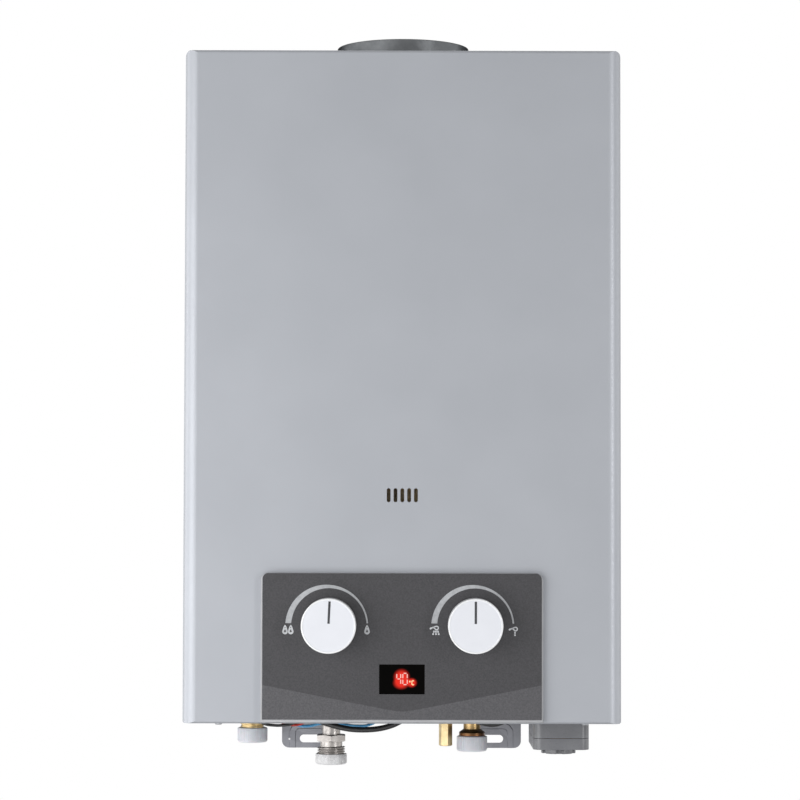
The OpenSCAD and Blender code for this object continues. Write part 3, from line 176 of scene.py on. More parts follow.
# %% Floor, world and lamps
bpy.ops.object.select_all(action="DESELECT")
bpy.ops.mesh.primitive_circle_add(vertices=96, radius=1.2, fill_type="NGON", location=(0, 0, -0.8))
floor = bpy.context.object
floor.name = "floor"
bpy.ops.object.transform_apply(location=True)
paper = bpy.data.materials.new("pale_floor_paper")
paper.use_nodes = True
tree = paper.node_tree
tree.nodes.clear()
fibre = put(tree, "TexNoise", Vector=put(tree, "TexCoord").outputs["Object"], Scale=300.0)
tone = put(tree, "MapRange", Value=fibre, To_Min=0.78, To_Max=0.84)
shade = put(tree, "BsdfPrincipled", Base_Color=tone, Roughness=0.9)
put(tree, "OutputMaterial", Surface=shade)
floor.data.materials.append(paper)

world = bpy.data.worlds.new("white_studio")
scene.world = world
world.use_nodes = True
tree = world.node_tree
tree.nodes.clear()
ray = put(tree, "LightPath")
seen = put(tree, "Math", {"operation": "MAXIMUM"}, _0=ray.outputs["Is Camera Ray"], _1=ray.outputs["Is Glossy Ray"])
seen = put(tree, "Math", {"operation": "MAXIMUM"}, _0=seen, _1=ray.outputs["Is Transmission Ray"])
level = put(tree, "MapRange", Value=seen, To_Min=0.23, To_Max=1.0)
put(tree, "OutputWorld", Surface=put(tree, "Background", Color="#ffffff", Strength=level))


def lamp(name, place, aim, wide, high, power):
    """A soft rectangular lamp that looks at a point."""
    light = bpy.data.lights.new(name, "AREA")
    light.shape = "RECTANGLE"
    light.size, light.size_y, light.energy = wide, high, power
    made = bpy.data.objects.new(name, light)
    scene.collection.objects.link(made)
    made.location = place
    made.rotation_euler = (Vector(aim) - Vector(place)).to_track_quat("-Z", "Y").to_euler()
    made.visible_camera = False
    return made


lamp("left_softbox", (-0.84, -0.92, 0.12), (0, -0.1, 0.14), 0.95, 0.95, 10.0)
lamp("left_side", (-1.3, 0.05, 0.2), (0, 0.05, 0.2), 0.8, 1.1, 6.5)
lamp("right_strip", (1.05, -1.15, 0.2), (0, -0.1, 0.2), 0.22, 1.0, 6.5)
lamp("right_side", (1.3, 0.05, 0.2), (0, 0.05, 0.2), 0.8, 1.1, 3.0)
lamp("low_fill", (-0.35, -1.05, -0.55), (0, -0.1, 0.0), 0.7, 0.35, 2.4)
print("stage ready")

# %% [markdown]
# ## Finishes: paint and plastics
# Most of what shows is paint and moulded plastic. Neither is one flat colour: pigment and filler drift a little over
# a few centimetres, and a fine grain from the mould or the spray breaks up the gloss. One function mixes that kind
# of skin from two tones and the two real sizes, so each plastic differs only in its numbers. The grains are finer
# than a pixel on the real heater, so they are drawn about twice as coarse here.

# %% Paint and plastics
finishes = {}
KNOB_X, KNOB_Z = 48, 65


def blank(name):
    """An empty material, its node tree and its Object coordinates."""
    material = bpy.data.materials.new(name)
    material.use_nodes = True
    material.node_tree.nodes.clear()
    return material, material.node_tree, put(material.node_tree, "TexCoord").outputs["Object"]


def skin(name, dark, light, patch, grain, rough, bump, **fixed):
    """Two tones drifting over patches, with a grain in gloss and relief; patch and grain are in millimetres."""
    material, tree, place = blank(name)
    drift = put(tree, "TexNoise", Vector=place, Scale=1 / (patch * MM), Detail=3.0)
    spread = put(tree, "MapRange", Value=drift, From_Min=0.3, From_Max=0.7)
    tone = put(tree, "Mix", {"data_type": "RGBA"}, _0=spread, _6=dark, _7=light)
    grit = put(tree, "TexNoise", Vector=place, Scale=1 / (grain * MM), Detail=2.0)
    gloss = put(tree, "MapRange", Value=grit, From_Min=0.3, From_Max=0.7, To_Min=rough - 0.06, To_Max=rough + 0.06)
    relief = put(tree, "Bump", Height=grit, Strength=bump, Distance=0.1 * MM)
    surface = put(tree, "BsdfPrincipled", Base_Color=tone.outputs[2], Roughness=gloss, Normal=relief, **fixed)
    put(tree, "OutputMaterial", Surface=surface)
    return material


# silver polyester paint on sheet steel: satin, with aluminium flake that only sparkles close up
finishes["cover_enamel"] = skin("silver_polyester_paint", "#a3a6ac", "#a7aab0", 60, 0.9, 0.44, 0.03, Metallic=0.32)
# ABS with a silver-grey masterbatch, smooth mould
finishes["panel_rim"] = skin("abs_silver_grey", "#a0a1a4", "#acadb0", 15, 0.8, 0.42, 0.03)
# dark acetal inlay of the pointers
finishes["pointer_dark"] = skin("acetal_anthracite", "#27282c", "#34353a", 4, 0.5, 0.42, 0.03)
# polyethylene transit caps, waxy and a little translucent
finishes["cap_white"] = skin("polyethylene_white", "#d1d3d9", "#dbdde3", 6, 0.6, 0.45, 0.05,
                             Subsurface_Weight=0.1, Subsurface_Scale=0.002)
# grey polypropylene of the battery box, fine spark-eroded grain
finishes["box_grey"] = skin("polypropylene_grey", "#696a6e", "#747578", 14, 0.8, 0.32, 0.06)
# cream ABS of the igniter box
finishes["igniter_plastic"] = skin("abs_cream", "#d6d4cb", "#e2e0d8", 18, 0.9, 0.42, 0.06)
# black polyamide of switches and sockets
finishes["black_plastic"] = skin("polyamide_black", "#1b1c1e", "#2a2b2e", 8, 0.7, 0.46, 0.08)
# black rubber of the diaphragm, dull and dusty
finishes["rubber_black"] = skin("nitrile_rubber_black", "#1d1d1e", "#2e2e2f", 7, 0.5, 0.75, 0.15)
# PVC insulation of the leads: smooth, with a soft gloss line
finishes["wire_black"] = skin("pvc_black", "#161617", "#242426", 5, 0.5, 0.36, 0.05)
finishes["wire_blue"] = skin("pvc_blue", "#3d84b8", "#56a3d0", 5, 0.5, 0.36, 0.05)
finishes["wire_red"] = skin("pvc_red", "#a3281f", "#bd3a2e", 5, 0.5, 0.36, 0.05)
# steatite insulators of the electrodes: glazed, warm white
finishes["ceramic_white"] = skin("steatite_glazed", "#e4dfd3", "#efebe2", 6, 0.6, 0.22, 0.03)

# %% Knob resin
# white urea resin: the face is matt; the narrow rim that frames it is glossier and painted lighter, a painted
# highlight along its rounded edge
knob, tree, place = blank("urea_resin_white")
axes = put(tree, "SeparateXYZ", Vector=place)
away = put(tree, "Math", {"operation": "ABSOLUTE"}, _0=axes.outputs["X"])
away = put(tree, "Math", {"operation": "SUBTRACT"}, _0=away, _1=KNOB_X * MM)
rise = put(tree, "Math", {"operation": "SUBTRACT"}, _0=axes.outputs["Z"], _1=KNOB_Z * MM)
reach = put(tree, "VectorMath", {"operation": "LENGTH"}, _0=put(tree, "CombineXYZ", X=away, Y=rise)).outputs["Value"]
# mask of the narrow rim ring: it gets a lighter painted highlight colour and a lower roughness
rim = put(tree, "MapRange", Value=reach, From_Min=16.7 * MM, From_Max=16.9 * MM)
drift = put(tree, "TexNoise", Vector=place, Scale=1 / (12 * MM), Detail=2.0)
face = put(tree, "Mix", {"data_type": "RGBA"}, _0=drift, _6="#dfe1e7", _7="#e5e7ed")
tone = put(tree, "Mix", {"data_type": "RGBA"}, _0=rim, _6=face.outputs[2], _7="#f1f2f4")
gloss = put(tree, "MapRange", Value=rim, To_Min=0.42, To_Max=0.24)
surface = put(tree, "BsdfPrincipled", Base_Color=tone.outputs[2], Roughness=gloss)
put(tree, "OutputMaterial", Surface=surface)
finishes["knob_white"] = knob
print("paint and plastics:", len(finishes))

# %% [markdown]
# ## Finishes: metals
# Metals get their look from how they were made. Hot-dip galvanised sheet crystallises in spangles of about a
# centimetre, turned brass keeps the fine rings of the lathe tool, copper darkens in cloudy patches, and steel near
# a flame takes straw and blue tints. A metal keeps the default IOR and full metallic, and the pattern goes into the
# colour and the roughness.


# %% Metals
def metal(name, dark, light, patch, rough, ring=None, fleck=None, **fixed):
    """Bare metal: cloudy tones over patches, with lathe rings along Z or crystal flecks, sizes in millimetres."""
    material, tree, place = blank(name)
    cloud = put(tree, "TexNoise", Vector=place, Scale=1 / (patch * MM), Detail=4.0, Roughness=0.6)
    mark = put(tree, "MapRange", Value=cloud, From_Min=0.3, From_Max=0.7)
    if fleck:
        crystal = put(tree, "TexVoronoi", Vector=place, Scale=1 / (fleck * MM))
        mark = put(tree, "Math", {"operation": "MULTIPLY_ADD"}, _0=crystal.outputs["Color"], _1=0.7, _2=0.15)
    tone = put(tree, "Mix", {"data_type": "RGBA"}, _0=mark, _6=dark, _7=light)
    grit = put(tree, "TexNoise", Vector=place, Scale=1 / (0.6 * MM), Detail=2.0)
    height = grit
    if ring:
        lines = put(tree, "TexWave", {"bands_direction": "Z"}, Vector=place, Scale=math.pi / 10 / (ring * MM),
                    Distortion=0.6, Detail=1.0)
        height = put(tree, "Math", {"operation": "MULTIPLY_ADD"}, _0=lines, _1=0.8, _2=grit)
    gloss = put(tree, "MapRange", Value=mark, To_Min=rough + 0.07, To_Max=rough - 0.07)
    relief = put(tree, "Bump", Height=height, Strength=0.06, Distance=0.1 * MM)
    surface = put(tree, "BsdfPrincipled", Base_Color=tone.outputs[2], Metallic=1.0, Roughness=gloss, Normal=relief,
                  **fixed)
    put(tree, "OutputMaterial", Surface=surface)
    return material


# hot-dip galvanised sheet, grey with spangles about a centimetre across
finishes["zinc_sheet"] = metal("galvanised_sheet", "#76777c", "#898a8f", 12, 0.4, fleck=9)
# bright zinc plating on screws
finishes["screw_zinc"] = metal("zinc_plated_steel", "#a6a8ac", "#bfc1c5", 2, 0.32)
# flue collar of dark aluminised steel, softly mottled; its dark grey specular tint is painted shade in the
# reflection, dimming the edges as dark surroundings would
finishes["flue_steel"] = metal("aluminised_steel_dark", "#515355", "#686a6c", 14, 0.42, Specular_Tint="#3a3a3a")
# turned and bright-dipped brass, warm yellow
finishes["brass"] = metal("turned_brass", "#bea97f", "#d8c69c", 6, 0.36, ring=0.7)
# nickel plate over turned brass, warm silver
finishes["nickel"] = metal("nickel_plate", "#908c89", "#a7a3a0", 6, 0.38, ring=0.8)
# pressure die-cast aluminium of the gas valve: grey, matt, a little cloudy
finishes["valve_alloy"] = metal("die_cast_aluminium", "#8f9194", "#a6a8ab", 9, 0.52)


def heated(name, cold, warm, hot, low, high, rough, stray=30):
    """Metal whose tint changes with height, between two heights and straying a little, all in millimetres."""
    material, tree, place = blank(name)
    cloud = put(tree, "TexNoise", Vector=place, Scale=1 / (11 * MM), Detail=4.0)
    z = put(tree, "SeparateXYZ", Vector=place).outputs["Z"]
    wander = put(tree, "Math", {"operation": "MULTIPLY_ADD"}, _0=cloud, _1=stray * MM, _2=z)
    heat = put(tree, "MapRange", Value=wander, From_Min=low * MM, From_Max=high * MM)
    first = put(tree, "MapRange", Value=heat, From_Max=0.5)
    second = put(tree, "MapRange", Value=heat, From_Min=0.5)
    tone = put(tree, "Mix", {"data_type": "RGBA"}, _0=first, _6=cold, _7=warm)
    tone = put(tree, "Mix", {"data_type": "RGBA"}, _0=second, _6=tone.outputs[2], _7=hot)
    gloss = put(tree, "MapRange", Value=cloud, To_Min=rough - 0.08, To_Max=rough + 0.08)
    relief = put(tree, "Bump", Height=cloud, Strength=0.08, Distance=0.2 * MM)
    surface = put(tree, "BsdfPrincipled", Base_Color=tone.outputs[2], Metallic=1.0, Roughness=gloss, Normal=relief)
    put(tree, "OutputMaterial", Surface=surface)
    return material


# copper sheet and tube: salmon pink below, browned by the heat of the chamber above
finishes["copper"] = heated("copper_tarnished", "#b9693f", "#c9784c", "#8a4a2e", 40, 330, 0.34)
# stainless burner bars: grey body, straw and blue along the flame ports
finishes["burner_steel"] = heated("stainless_heat_tinted", "#8d8e90", "#b29a63", "#5d6a86", 112, 145, 0.4)
# brass of the cold water stub: coppery round the collar at its foot, a dark band round the flare above it, plain
# brass higher up
finishes["brass_brazed"] = heated("brass_brazed", "#86583c", "#4a3a27", "#a48b62", -14, -5, 0.36, 2)
print("finishes so far:", len(finishes))

# %% [markdown]
# ## Finishes: the printed film, the display and the rest
# The control panel carries a printed film in dark metallic grey. A paler field rises from the bottom edge along a
# shallow V with a rounded point, so the boundary is a function of the distance from the middle. The display is a
# smoked window lit red from behind; its glow is three soft overlapping rounds in the window's own
# coordinates.

# %% Printed film
film, tree, place = blank("printed_film_metallic_grey")
axes = put(tree, "SeparateXYZ", Vector=place)
square = put(tree, "Math", {"operation": "MULTIPLY"}, _0=axes.outputs["X"], _1=axes.outputs["X"])
square = put(tree, "Math", {"operation": "ADD"}, _0=square, _1=(4 * MM) ** 2)
reach = put(tree, "Math", {"operation": "SQRT"}, _0=square)
edge = put(tree, "Math", {"operation": "MULTIPLY_ADD"}, _0=reach, _1=0.196, _2=7.7 * MM)
depth = put(tree, "Math", {"operation": "SUBTRACT"}, _0=edge, _1=axes.outputs["Z"])
lower = put(tree, "MapRange", Value=depth, From_Min=-0.15 * MM, From_Max=0.15 * MM)
flake = put(tree, "TexNoise", Vector=place, Scale=1 / (0.9 * MM), Detail=2.0)
flake = put(tree, "MapRange", Value=flake, From_Min=0.3, From_Max=0.7)
above = put(tree, "Mix", {"data_type": "RGBA"}, _0=flake, _6="#39393b", _7="#464548")
below = put(tree, "Mix", {"data_type": "RGBA"}, _0=flake, _6="#4a4a4d", _7="#5a595c")
tone = put(tree, "Mix", {"data_type": "RGBA"}, _0=lower, _6=above.outputs[2], _7=below.outputs[2])
gloss = put(tree, "MapRange", Value=flake, To_Min=0.48, To_Max=0.4)
relief = put(tree, "Bump", Height=flake, Strength=0.04, Distance=0.1 * MM)
surface = put(tree, "BsdfPrincipled", Base_Color=tone.outputs[2], Roughness=gloss, Normal=relief,
              Specular_IOR_Level=0.35)
put(tree, "OutputMaterial", Surface=surface)
finishes["panel_print"] = film

# %% Display window
window, tree, place = blank("smoked_acrylic")
axes = put(tree, "SeparateXYZ", Vector=place)
# each round's middle in x and z, half width and half height, in millimetres
GLOW = ((-0.2, 31.0, 4.9, 4.9), (-0.5, 27.2, 4.9, 3.9), (6.3, 27.3, 3.3, 2.9))
glow = None
for mid_x, mid_z, half_x, half_z in GLOW:
    side = put(tree, "Math", {"operation": "MULTIPLY_ADD"}, _0=axes.outputs["X"], _1=1 / (half_x * MM),
               _2=-mid_x / half_x)
    rise = put(tree, "Math", {"operation": "MULTIPLY_ADD"}, _0=axes.outputs["Z"], _1=1 / (half_z * MM),
               _2=-mid_z / half_z)
    both = put(tree, "CombineXYZ", X=side, Y=rise)
    far = put(tree, "VectorMath", {"operation": "LENGTH"}, _0=both).outputs["Value"]
    near = put(tree, "MapRange", {"interpolation_type": "SMOOTHSTEP"}, Value=far, From_Min=1.25, From_Max=0.45)
    glow = near if glow is None else put(tree, "Math", {"operation": "ADD", "use_clamp": True}, _0=glow, _1=near)
haze = put(tree, "TexNoise", Vector=place, Scale=1 / (3 * MM), Detail=2.0)
tone = put(tree, "Mix", {"data_type": "RGBA"}, _0=haze, _6="#030303", _7="#070605")
lit = put(tree, "Mix", {"data_type": "RGBA"}, _0=glow, _6="#000000", _7="#ec3226")
surface = put(tree, "BsdfPrincipled", Base_Color=tone.outputs[2], Roughness=0.25, Specular_IOR_Level=0.02,
              Emission_Color=lit.outputs[2], Emission_Strength=1.0)
put(tree, "OutputMaterial", Surface=surface)
finishes["window_black"] = window

# %% Board, mica, cells and the clear cap
# glass-epoxy board: green lacquer over a net of slightly raised tracks, one to two millimetres apart
board, tree, place = blank("glass_epoxy_board")
track = put(tree, "TexBrick", Vector=place, Scale=1 / (4 * MM), Mortar_Size=0.08, Color1="#1f5238", Color2="#265e41",
            Mortar="#377753")
relief = put(tree, "Bump", Height=track.outputs["Fac"], Strength=0.3, Distance=0.05 * MM)
surface = put(tree, "BsdfPrincipled", Base_Color=track.outputs["Color"], Roughness=0.35, Normal=relief)
put(tree, "OutputMaterial", Surface=surface)
finishes["board_green"] = board
# mica of the sight window: amber leaves, half clear
finishes["mica"] = skin("mica_leaf", "#b08a4e", "#cfae74", 5, 0.5, 0.25, 0.1, Transmission_Weight=0.35)
# battery jackets: printed film, gold at the lower end and dark above
cell, tree, place = blank("cell_jacket_film")
axes = put(tree, "SeparateXYZ", Vector=place)
band = put(tree, "MapRange", Value=axes.outputs["Z"], From_Min=8 * MM, From_Max=9 * MM)
scuff = put(tree, "TexNoise", Vector=place, Scale=1 / (4 * MM), Detail=3.0)
dark = put(tree, "Mix", {"data_type": "RGBA"}, _0=scuff, _6="#1c1d20", _7="#2c2d31")
tone = put(tree, "Mix", {"data_type": "RGBA"}, _0=band, _6="#b7863f", _7=dark.outputs[2])
surface = put(tree, "BsdfPrincipled", Base_Color=tone.outputs[2], Roughness=0.3)
put(tree, "OutputMaterial", Surface=surface)
finishes["cell_jacket"] = cell
# natural polyethylene of the gas cap: milky, lets light through
finishes["cap_clear"] = skin("polyethylene_natural", "#ededee", "#f5f5f6", 6, 0.6, 0.3, 0.02,
                             Transmission_Weight=0.3)
missing = sorted(set(slot_of.values()) - set(finishes))
print("finishes:", len(finishes), "missing:", missing)

# %% [markdown]
# ## Dressing the CAD nodes
# Every CAD node keeps its own mesh and only changes its finish: the record says which finish belongs to which node,
# so one loop does them all.


# %% Dress the nodes
def dress(piece, slot):
    """Give a piece the finish of a slot."""
    piece.data.materials.clear()
    piece.data.materials.append(finishes[slot])


for name, slot in slot_of.items():
    dress(cad[name], slot)
for name, lead in leads.items():
    dress(lead, slot_of[name])
print("dressed", len(slot_of), "nodes")

# %% [markdown]
# ## Tools for modelling by hand
# Each new piece starts from a primitive at its real size and place. Its place is applied to the mesh at once, so
# that faces and edges can be chosen by where they are or which way they look. Round pieces are turned: half of the
# outline is drawn corner by corner, and the spin tool carries it round the axis, as a lathe would.


# %% Modelling helpers
def begin(name, add, **settings):
    """Deselect everything, add one primitive, apply its place and go into edit mode."""
    bpy.ops.object.select_all(action="DESELECT")
    add(**settings)
    piece = bpy.context.object
    piece.name = piece.data.name = name
    bpy.ops.object.transform_apply(location=True, rotation=True, scale=True)
    bpy.ops.object.mode_set(mode="EDIT")
    bpy.ops.mesh.select_mode(type="VERT")
    return piece


def choose(piece, kind, test):
    """Select only the verts, edges or faces that pass a test."""
    bpy.ops.mesh.select_mode(type={"verts": "VERT", "edges": "EDGE", "faces": "FACE"}[kind])
    bpy.ops.mesh.select_all(action="DESELECT")
    mesh = bmesh.from_edit_mesh(piece.data)
    for part in getattr(mesh, kind):
        if test(part):
            part.select_set(True)
    mesh.select_flush_mode()
    bmesh.update_edit_mesh(piece.data)


def middle(part):
    """The middle of an edge or face, in millimetres."""
    return sum((v.co for v in part.verts), Vector()) / len(part.verts) / MM


def done(piece, body, slot, *stands_for, angle=32):
    """Leave edit mode, smooth the shading, and let the piece ride, be dressed and stand for its CAD nodes."""
    bpy.ops.object.mode_set(mode="OBJECT")
    bpy.ops.object.shade_smooth_by_angle(angle=math.radians(angle))
    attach(piece, body)
    if stands_for:
        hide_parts(*stands_for)
    dress(piece, slot)
    print(piece.name, "faces", len(piece.data.polygons))
    return piece


def turned(name, profile, centre, axis, steps=96):
    """Draw half an outline of (radius, height) corners and spin it round an axis, all in millimetres."""
    centre, axis = Vector(centre) * MM, Vector(axis)
    corners = [centre + (Vector((1, 0, 0)) * r + axis * h) * MM for r, h in profile]
    piece = begin(name, bpy.ops.mesh.primitive_plane_add, size=MM, location=corners[0])
    bpy.ops.mesh.select_all(action="SELECT")
    bpy.ops.mesh.merge(type="CENTER")
    for a, b in zip(corners, corners[1:]):
        bpy.ops.mesh.extrude_region_move(TRANSFORM_OT_translate={"value": b - a})
    bpy.ops.mesh.select_all(action="SELECT")
    bpy.ops.mesh.spin(steps=steps, angle=2 * math.pi, center=centre, axis=axis)
    bpy.ops.mesh.select_all(action="SELECT")
    bpy.ops.mesh.remove_doubles(threshold=0.001 * MM)
    bpy.ops.mesh.normals_make_consistent(inside=False)
    return piece


def curve_of(mid_r, mid_h, radius, start, end, count=5):
    """Corners of a rounded edge in an outline, from one angle to another in degrees."""
    angles = [math.radians(start + (end - start) * i / count) for i in range(count + 1)]
    return [(mid_r + radius * math.cos(a), mid_h + radius * math.sin(a)) for a in angles]


def combine(piece, other, operation):
    """Join, cut or keep the overlap of two closed meshes, and delete the second."""
    bpy.ops.object.mode_set(mode="OBJECT")
    bpy.context.view_layer.objects.active = piece
    tool = piece.modifiers.new("combine", "BOOLEAN")
    tool.operation, tool.object, tool.solver = operation, other, "EXACT"
    bpy.ops.object.modifier_apply(modifier=tool.name)
    bpy.data.objects.remove(other, do_unlink=True)
    bpy.ops.object.select_all(action="DESELECT")
    piece.select_set(True)
    bpy.ops.object.mode_set(mode="EDIT")
    return piece


print("tools ready")

# %% [markdown]
# ## Knobs and pointers
# Two white knobs, 36 mm across, set the gas and the water. Their faces are flat with a narrow raised rim that
# catches the light, and a thin dark pointer is let into the face. A knob could be a cylinder with a bevel, but the
# rim is clearer as an outline turned on a lathe. The left knob stands a little clockwise in the
# photograph.

# %% Knobs
KNOB = [(0, 131.8), (17.5, 131.8), (18.0, 132.3), (18.0, 146.9)] + curve_of(17.2, 147.5, 0.8, 0, 90) + [
    (17.0, 148.3), (16.7, 148.05), (0, 148.05)]


def pointer(name, x, tilt):
    """A thin bar let into a knob's face, with softened edges."""
    piece = begin(name, bpy.ops.mesh.primitive_cube_add, size=1, location=(0, -148 * MM, 0),
                  scale=(1.5 * MM, 0.5 * MM, 14.5 * MM))
    choose(piece, "edges", lambda e: middle(e).y < -148.2)
    bpy.ops.mesh.bevel(offset=0.12 * MM, segments=2, affect="EDGES")
    bpy.ops.mesh.select_all(action="SELECT")
    bpy.ops.transform.translate(value=(0, 0, 8.8 * MM))
    bpy.ops.transform.rotate(value=math.radians(tilt), orient_axis="Y", center_override=(0, 0, 0))
    bpy.ops.transform.translate(value=(x * MM, 0, KNOB_Z * MM))
    return piece


for side, x, tilt in (("gas", -KNOB_X, -2.6), ("water", KNOB_X, 0)):
    knob = turned(side + "_knob_turned", KNOB, (x, 0, KNOB_Z), (0, -1, 0))
    done(knob, side + "_control", "knob_white", side + "_knob")
    done(pointer(side + "_pointer_bar", x, tilt), side + "_control", "pointer_dark", side + "_pointer")

# %% [markdown]
# ## The print on the panel
# Round each knob runs a crescent that grows from thin to thick, and small signs say what the ends mean: two flames
# and one flame for the gas, a shower and a single jet for the water. They are flat print, a twentieth of a
# millimetre thick. The crescent is one disc cut out of a larger one that sits off centre, trimmed flat below.

# %% Print finish
# screen ink, matt and a little uneven where the mesh laid it down: pale grey crescents, whiter signs
finishes["ink_grey"] = skin("screen_ink_grey", "#a4a6a9", "#b6b8bb", 2, 0.4, 0.55, 0.1)
finishes["ink_white"] = skin("screen_ink_white", "#c2c4c7", "#d0d2d5", 2, 0.4, 0.55, 0.1)
PRINT_Y = -131.0
INK = 0.05


def printed(piece, ink="ink_white"):
    """Finish a flat print on the panel film."""
    done(piece, "chassis", "panel_print")
    dress(piece, ink)


def disc(name, x, z, radius, thick, back):
    """A flat disc that faces the camera, from its back plane forwards."""
    return begin(name, bpy.ops.mesh.primitive_cylinder_add, vertices=128, radius=radius * MM, depth=thick * MM,
                 location=(x * MM, (back - thick / 2) * MM, z * MM), rotation=(math.pi / 2, 0, 0))


# %% Crescents
for side, x in (("gas", -KNOB_X), ("water", KNOB_X)):
    cutter = disc("cutter", x - 0.1, 64.4, 24.8, 2, PRINT_Y + 1)
    bpy.ops.object.mode_set(mode="OBJECT")
    piece = disc(side + "_crescent", x - 1.5, 64.2, 27.25, INK, PRINT_Y)
    combine(piece, cutter, "DIFFERENCE")
    bpy.ops.mesh.select_all(action="SELECT")
    bpy.ops.mesh.bisect(plane_co=(0, 0, 66.2 * MM), plane_no=(0, 0, 1), use_fill=True, clear_inner=True)
    printed(piece, "ink_grey")


# %% Flames
def drop(name, x, z, wide, high, line, turn=0.0):
    """The outline of a drop: a round drawn up to a point, inset, its middle taken out, then turned in degrees."""
    piece = begin(name, bpy.ops.mesh.primitive_circle_add, vertices=32, radius=wide / 2 * MM, fill_type="NGON",
                  location=(x * MM, PRINT_Y * MM, (z - high / 2 + wide / 2) * MM), rotation=(math.pi / 2, 0, 0))
    foot = z - high / 2 + wide / 2
    mesh = bmesh.from_edit_mesh(piece.data)
    for v in mesh.verts:
        up = v.co.z / MM - foot
        if up > 0:
            share = up / (wide / 2)
            v.co.x = x * MM + (v.co.x - x * MM) * (1 - 0.25 * share * share)
            v.co.z = (foot + (high - wide / 2) * share ** 1.6) * MM
    bmesh.update_edit_mesh(piece.data)
    bpy.ops.mesh.select_all(action="SELECT")
    bpy.ops.mesh.inset(thickness=line * MM, depth=0)
    bpy.ops.mesh.delete(type="FACE")
    bpy.ops.mesh.select_all(action="SELECT")
    bpy.ops.mesh.extrude_region_move(TRANSFORM_OT_translate={"value": (0, -INK * MM, 0)})
    bpy.ops.mesh.select_all(action="SELECT")
    bpy.ops.mesh.normals_make_consistent(inside=False)
    bpy.ops.transform.rotate(value=math.radians(turn), orient_axis="Y", center_override=(x * MM, 0, z * MM))
    return piece


for name, x in (("flame_big_a", -76.9), ("flame_big_b", -73.1), ("flame_small", -23.0)):
    printed(drop(name + "_outer", x, 62.0, 3.6, 6.2, 0.75))
    printed(drop(name + "_inner", x, 61.35, 2.5, 3.6, 0.6))


# %% Shower and tap
def stroke(name, start, end, wide, back=PRINT_Y):
    """A short flat stroke with chamfered ends, from one point to another in x and z."""
    a, b = Vector((start[0], back - INK / 2, start[1])), Vector((end[0], back - INK / 2, end[1]))
    way = b - a
    turn = math.atan2(way.x, way.z)
    mid = (a + b) / 2
    piece = begin(name, bpy.ops.mesh.primitive_cube_add, size=1, location=mid * MM, rotation=(0, turn, 0),
                  scale=(wide * MM, INK * MM, way.length * MM))
    choose(piece, "edges", lambda e: abs((e.verts[0].co - e.verts[1].co).y) > 0.03 * MM)
    bpy.ops.mesh.bevel(offset=wide * 0.3 * MM, segments=2, affect="EDGES")
    return piece


def jets(x, z, spread):
    """Water below a spray head: each jet is a long stroke and a drop, fanned out by the spread."""
    for lean in spread:
        yield (x + lean, z), (x + lean * 1.35, z - 1.5), 0.95
        yield (x + lean * 1.45, z - 1.75), (x + lean * 1.75, z - 2.9), 1.1


for sign, x, z, spread in (("shower", 22.3, 63.3, (-1.15, 0, 1.15)), ("tap", 74.2, 62.7, (0,))):
    printed(drop(sign + "_head", x, z, 3.1, 3.9, 0.75, turn=80))
    strokes = [((x - 1.5, z + 0.5), (x - 2.7, z - 0.1), 0.9), ((x - 2.6, z + 0.1), (x - 4.0, z - 0.8), 1.15)]
    strokes += jets(x, z - 1.75, spread)
    for number, (start, end, wide) in enumerate(strokes):
        printed(stroke("%s_%d" % (sign, number), start, end, wide))

# %% [markdown]
# ## The display
# The window shows a water temperature of forty degrees in seven-segment figures, pinkish white in the middle of
# their own red glow. Each lit segment is one chamfered stroke just in front of the window. The degree sign and the
# letter of the unit are smaller strokes, lit yellow.

# %% Figures
for slot, code in (("figure", ("#f4b0a5", "#fccdc4")), ("unit", ("#ffc98a", "#ffdfae"))):
    lit, tree, place = blank("light_diode_" + slot)
    cloud = put(tree, "TexNoise", Vector=place, Scale=1 / (0.8 * MM))
    tone = put(tree, "Mix", {"data_type": "RGBA"}, _0=cloud, _6=code[0], _7=code[1])
    surface = put(tree, "BsdfPrincipled", Base_Color="#200806", Roughness=0.3, Emission_Color=tone.outputs[2],
                  Emission_Strength=1.0)
    put(tree, "OutputMaterial", Surface=surface)
    finishes[slot] = lit

GLASS_Y = -130.9
SEGMENTS = {"a": (0, 2, 1, 2), "b": (1, 2, 1, 1), "c": (1, 1, 1, 0), "d": (0, 0, 1, 0), "e": (0, 1, 0, 0),
            "f": (0, 2, 0, 1), "g": (0, 1, 1, 1)}


def segment(name, start, end, thick, slot):
    """One lit stroke in front of the window."""
    dress(done(stroke(name, start, end, thick, GLASS_Y), "chassis", "window_black"), slot)


def figure(label, letters, left, low, wide, high, thick, short, slot):
    """The lit segments of one figure, each a stroke cut short at both ends of its side."""
    for letter in letters:
        x0, z0, x1, z1 = SEGMENTS[letter]
        a = Vector((left + x0 * wide, low + z0 * high / 2))
        b = Vector((left + x1 * wide, low + z1 * high / 2))
        gap = (b - a).normalized() * short
        segment("%s_%s" % (label, letter), a + gap, b - gap, thick, slot)


figure("four", "bcfg", -3.4, 26.1, 2.6, 7.4, 0.68, 0.48, "figure")
figure("zero", "abcdef", 0.6, 26.1, 2.9, 7.4, 0.68, 0.48, "figure")
segment("degree_dot", (5.2, 27.55), (5.2, 28.65), 1.05, "unit")
figure("celsius", "adef", 6.55, 26.0, 1.5, 2.6, 0.75, 0.05, "unit")

# %% [markdown]
# ## Transit caps
# The water threads wear ribbed white caps until a pipe is joined. A cap starts as a cylinder with twice as many
# sides as ribs. Its lower edge is bevelled round, its top is inset and pushed down for the bore, and every second
# side face is raised to make a rib. Raising faces gives crisper ribs than a bump would, and they show in outline.


# %% Ribbed caps
# places of the connections in x and y
OUT, GAS, WATER, DRAIN = (-103.5, -25), (-48, -58), (48, -58), (30, -58)


def span(node):
    """The lowest and highest height of a CAD node, in millimetres."""
    return [corner[2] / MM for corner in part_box(node)]


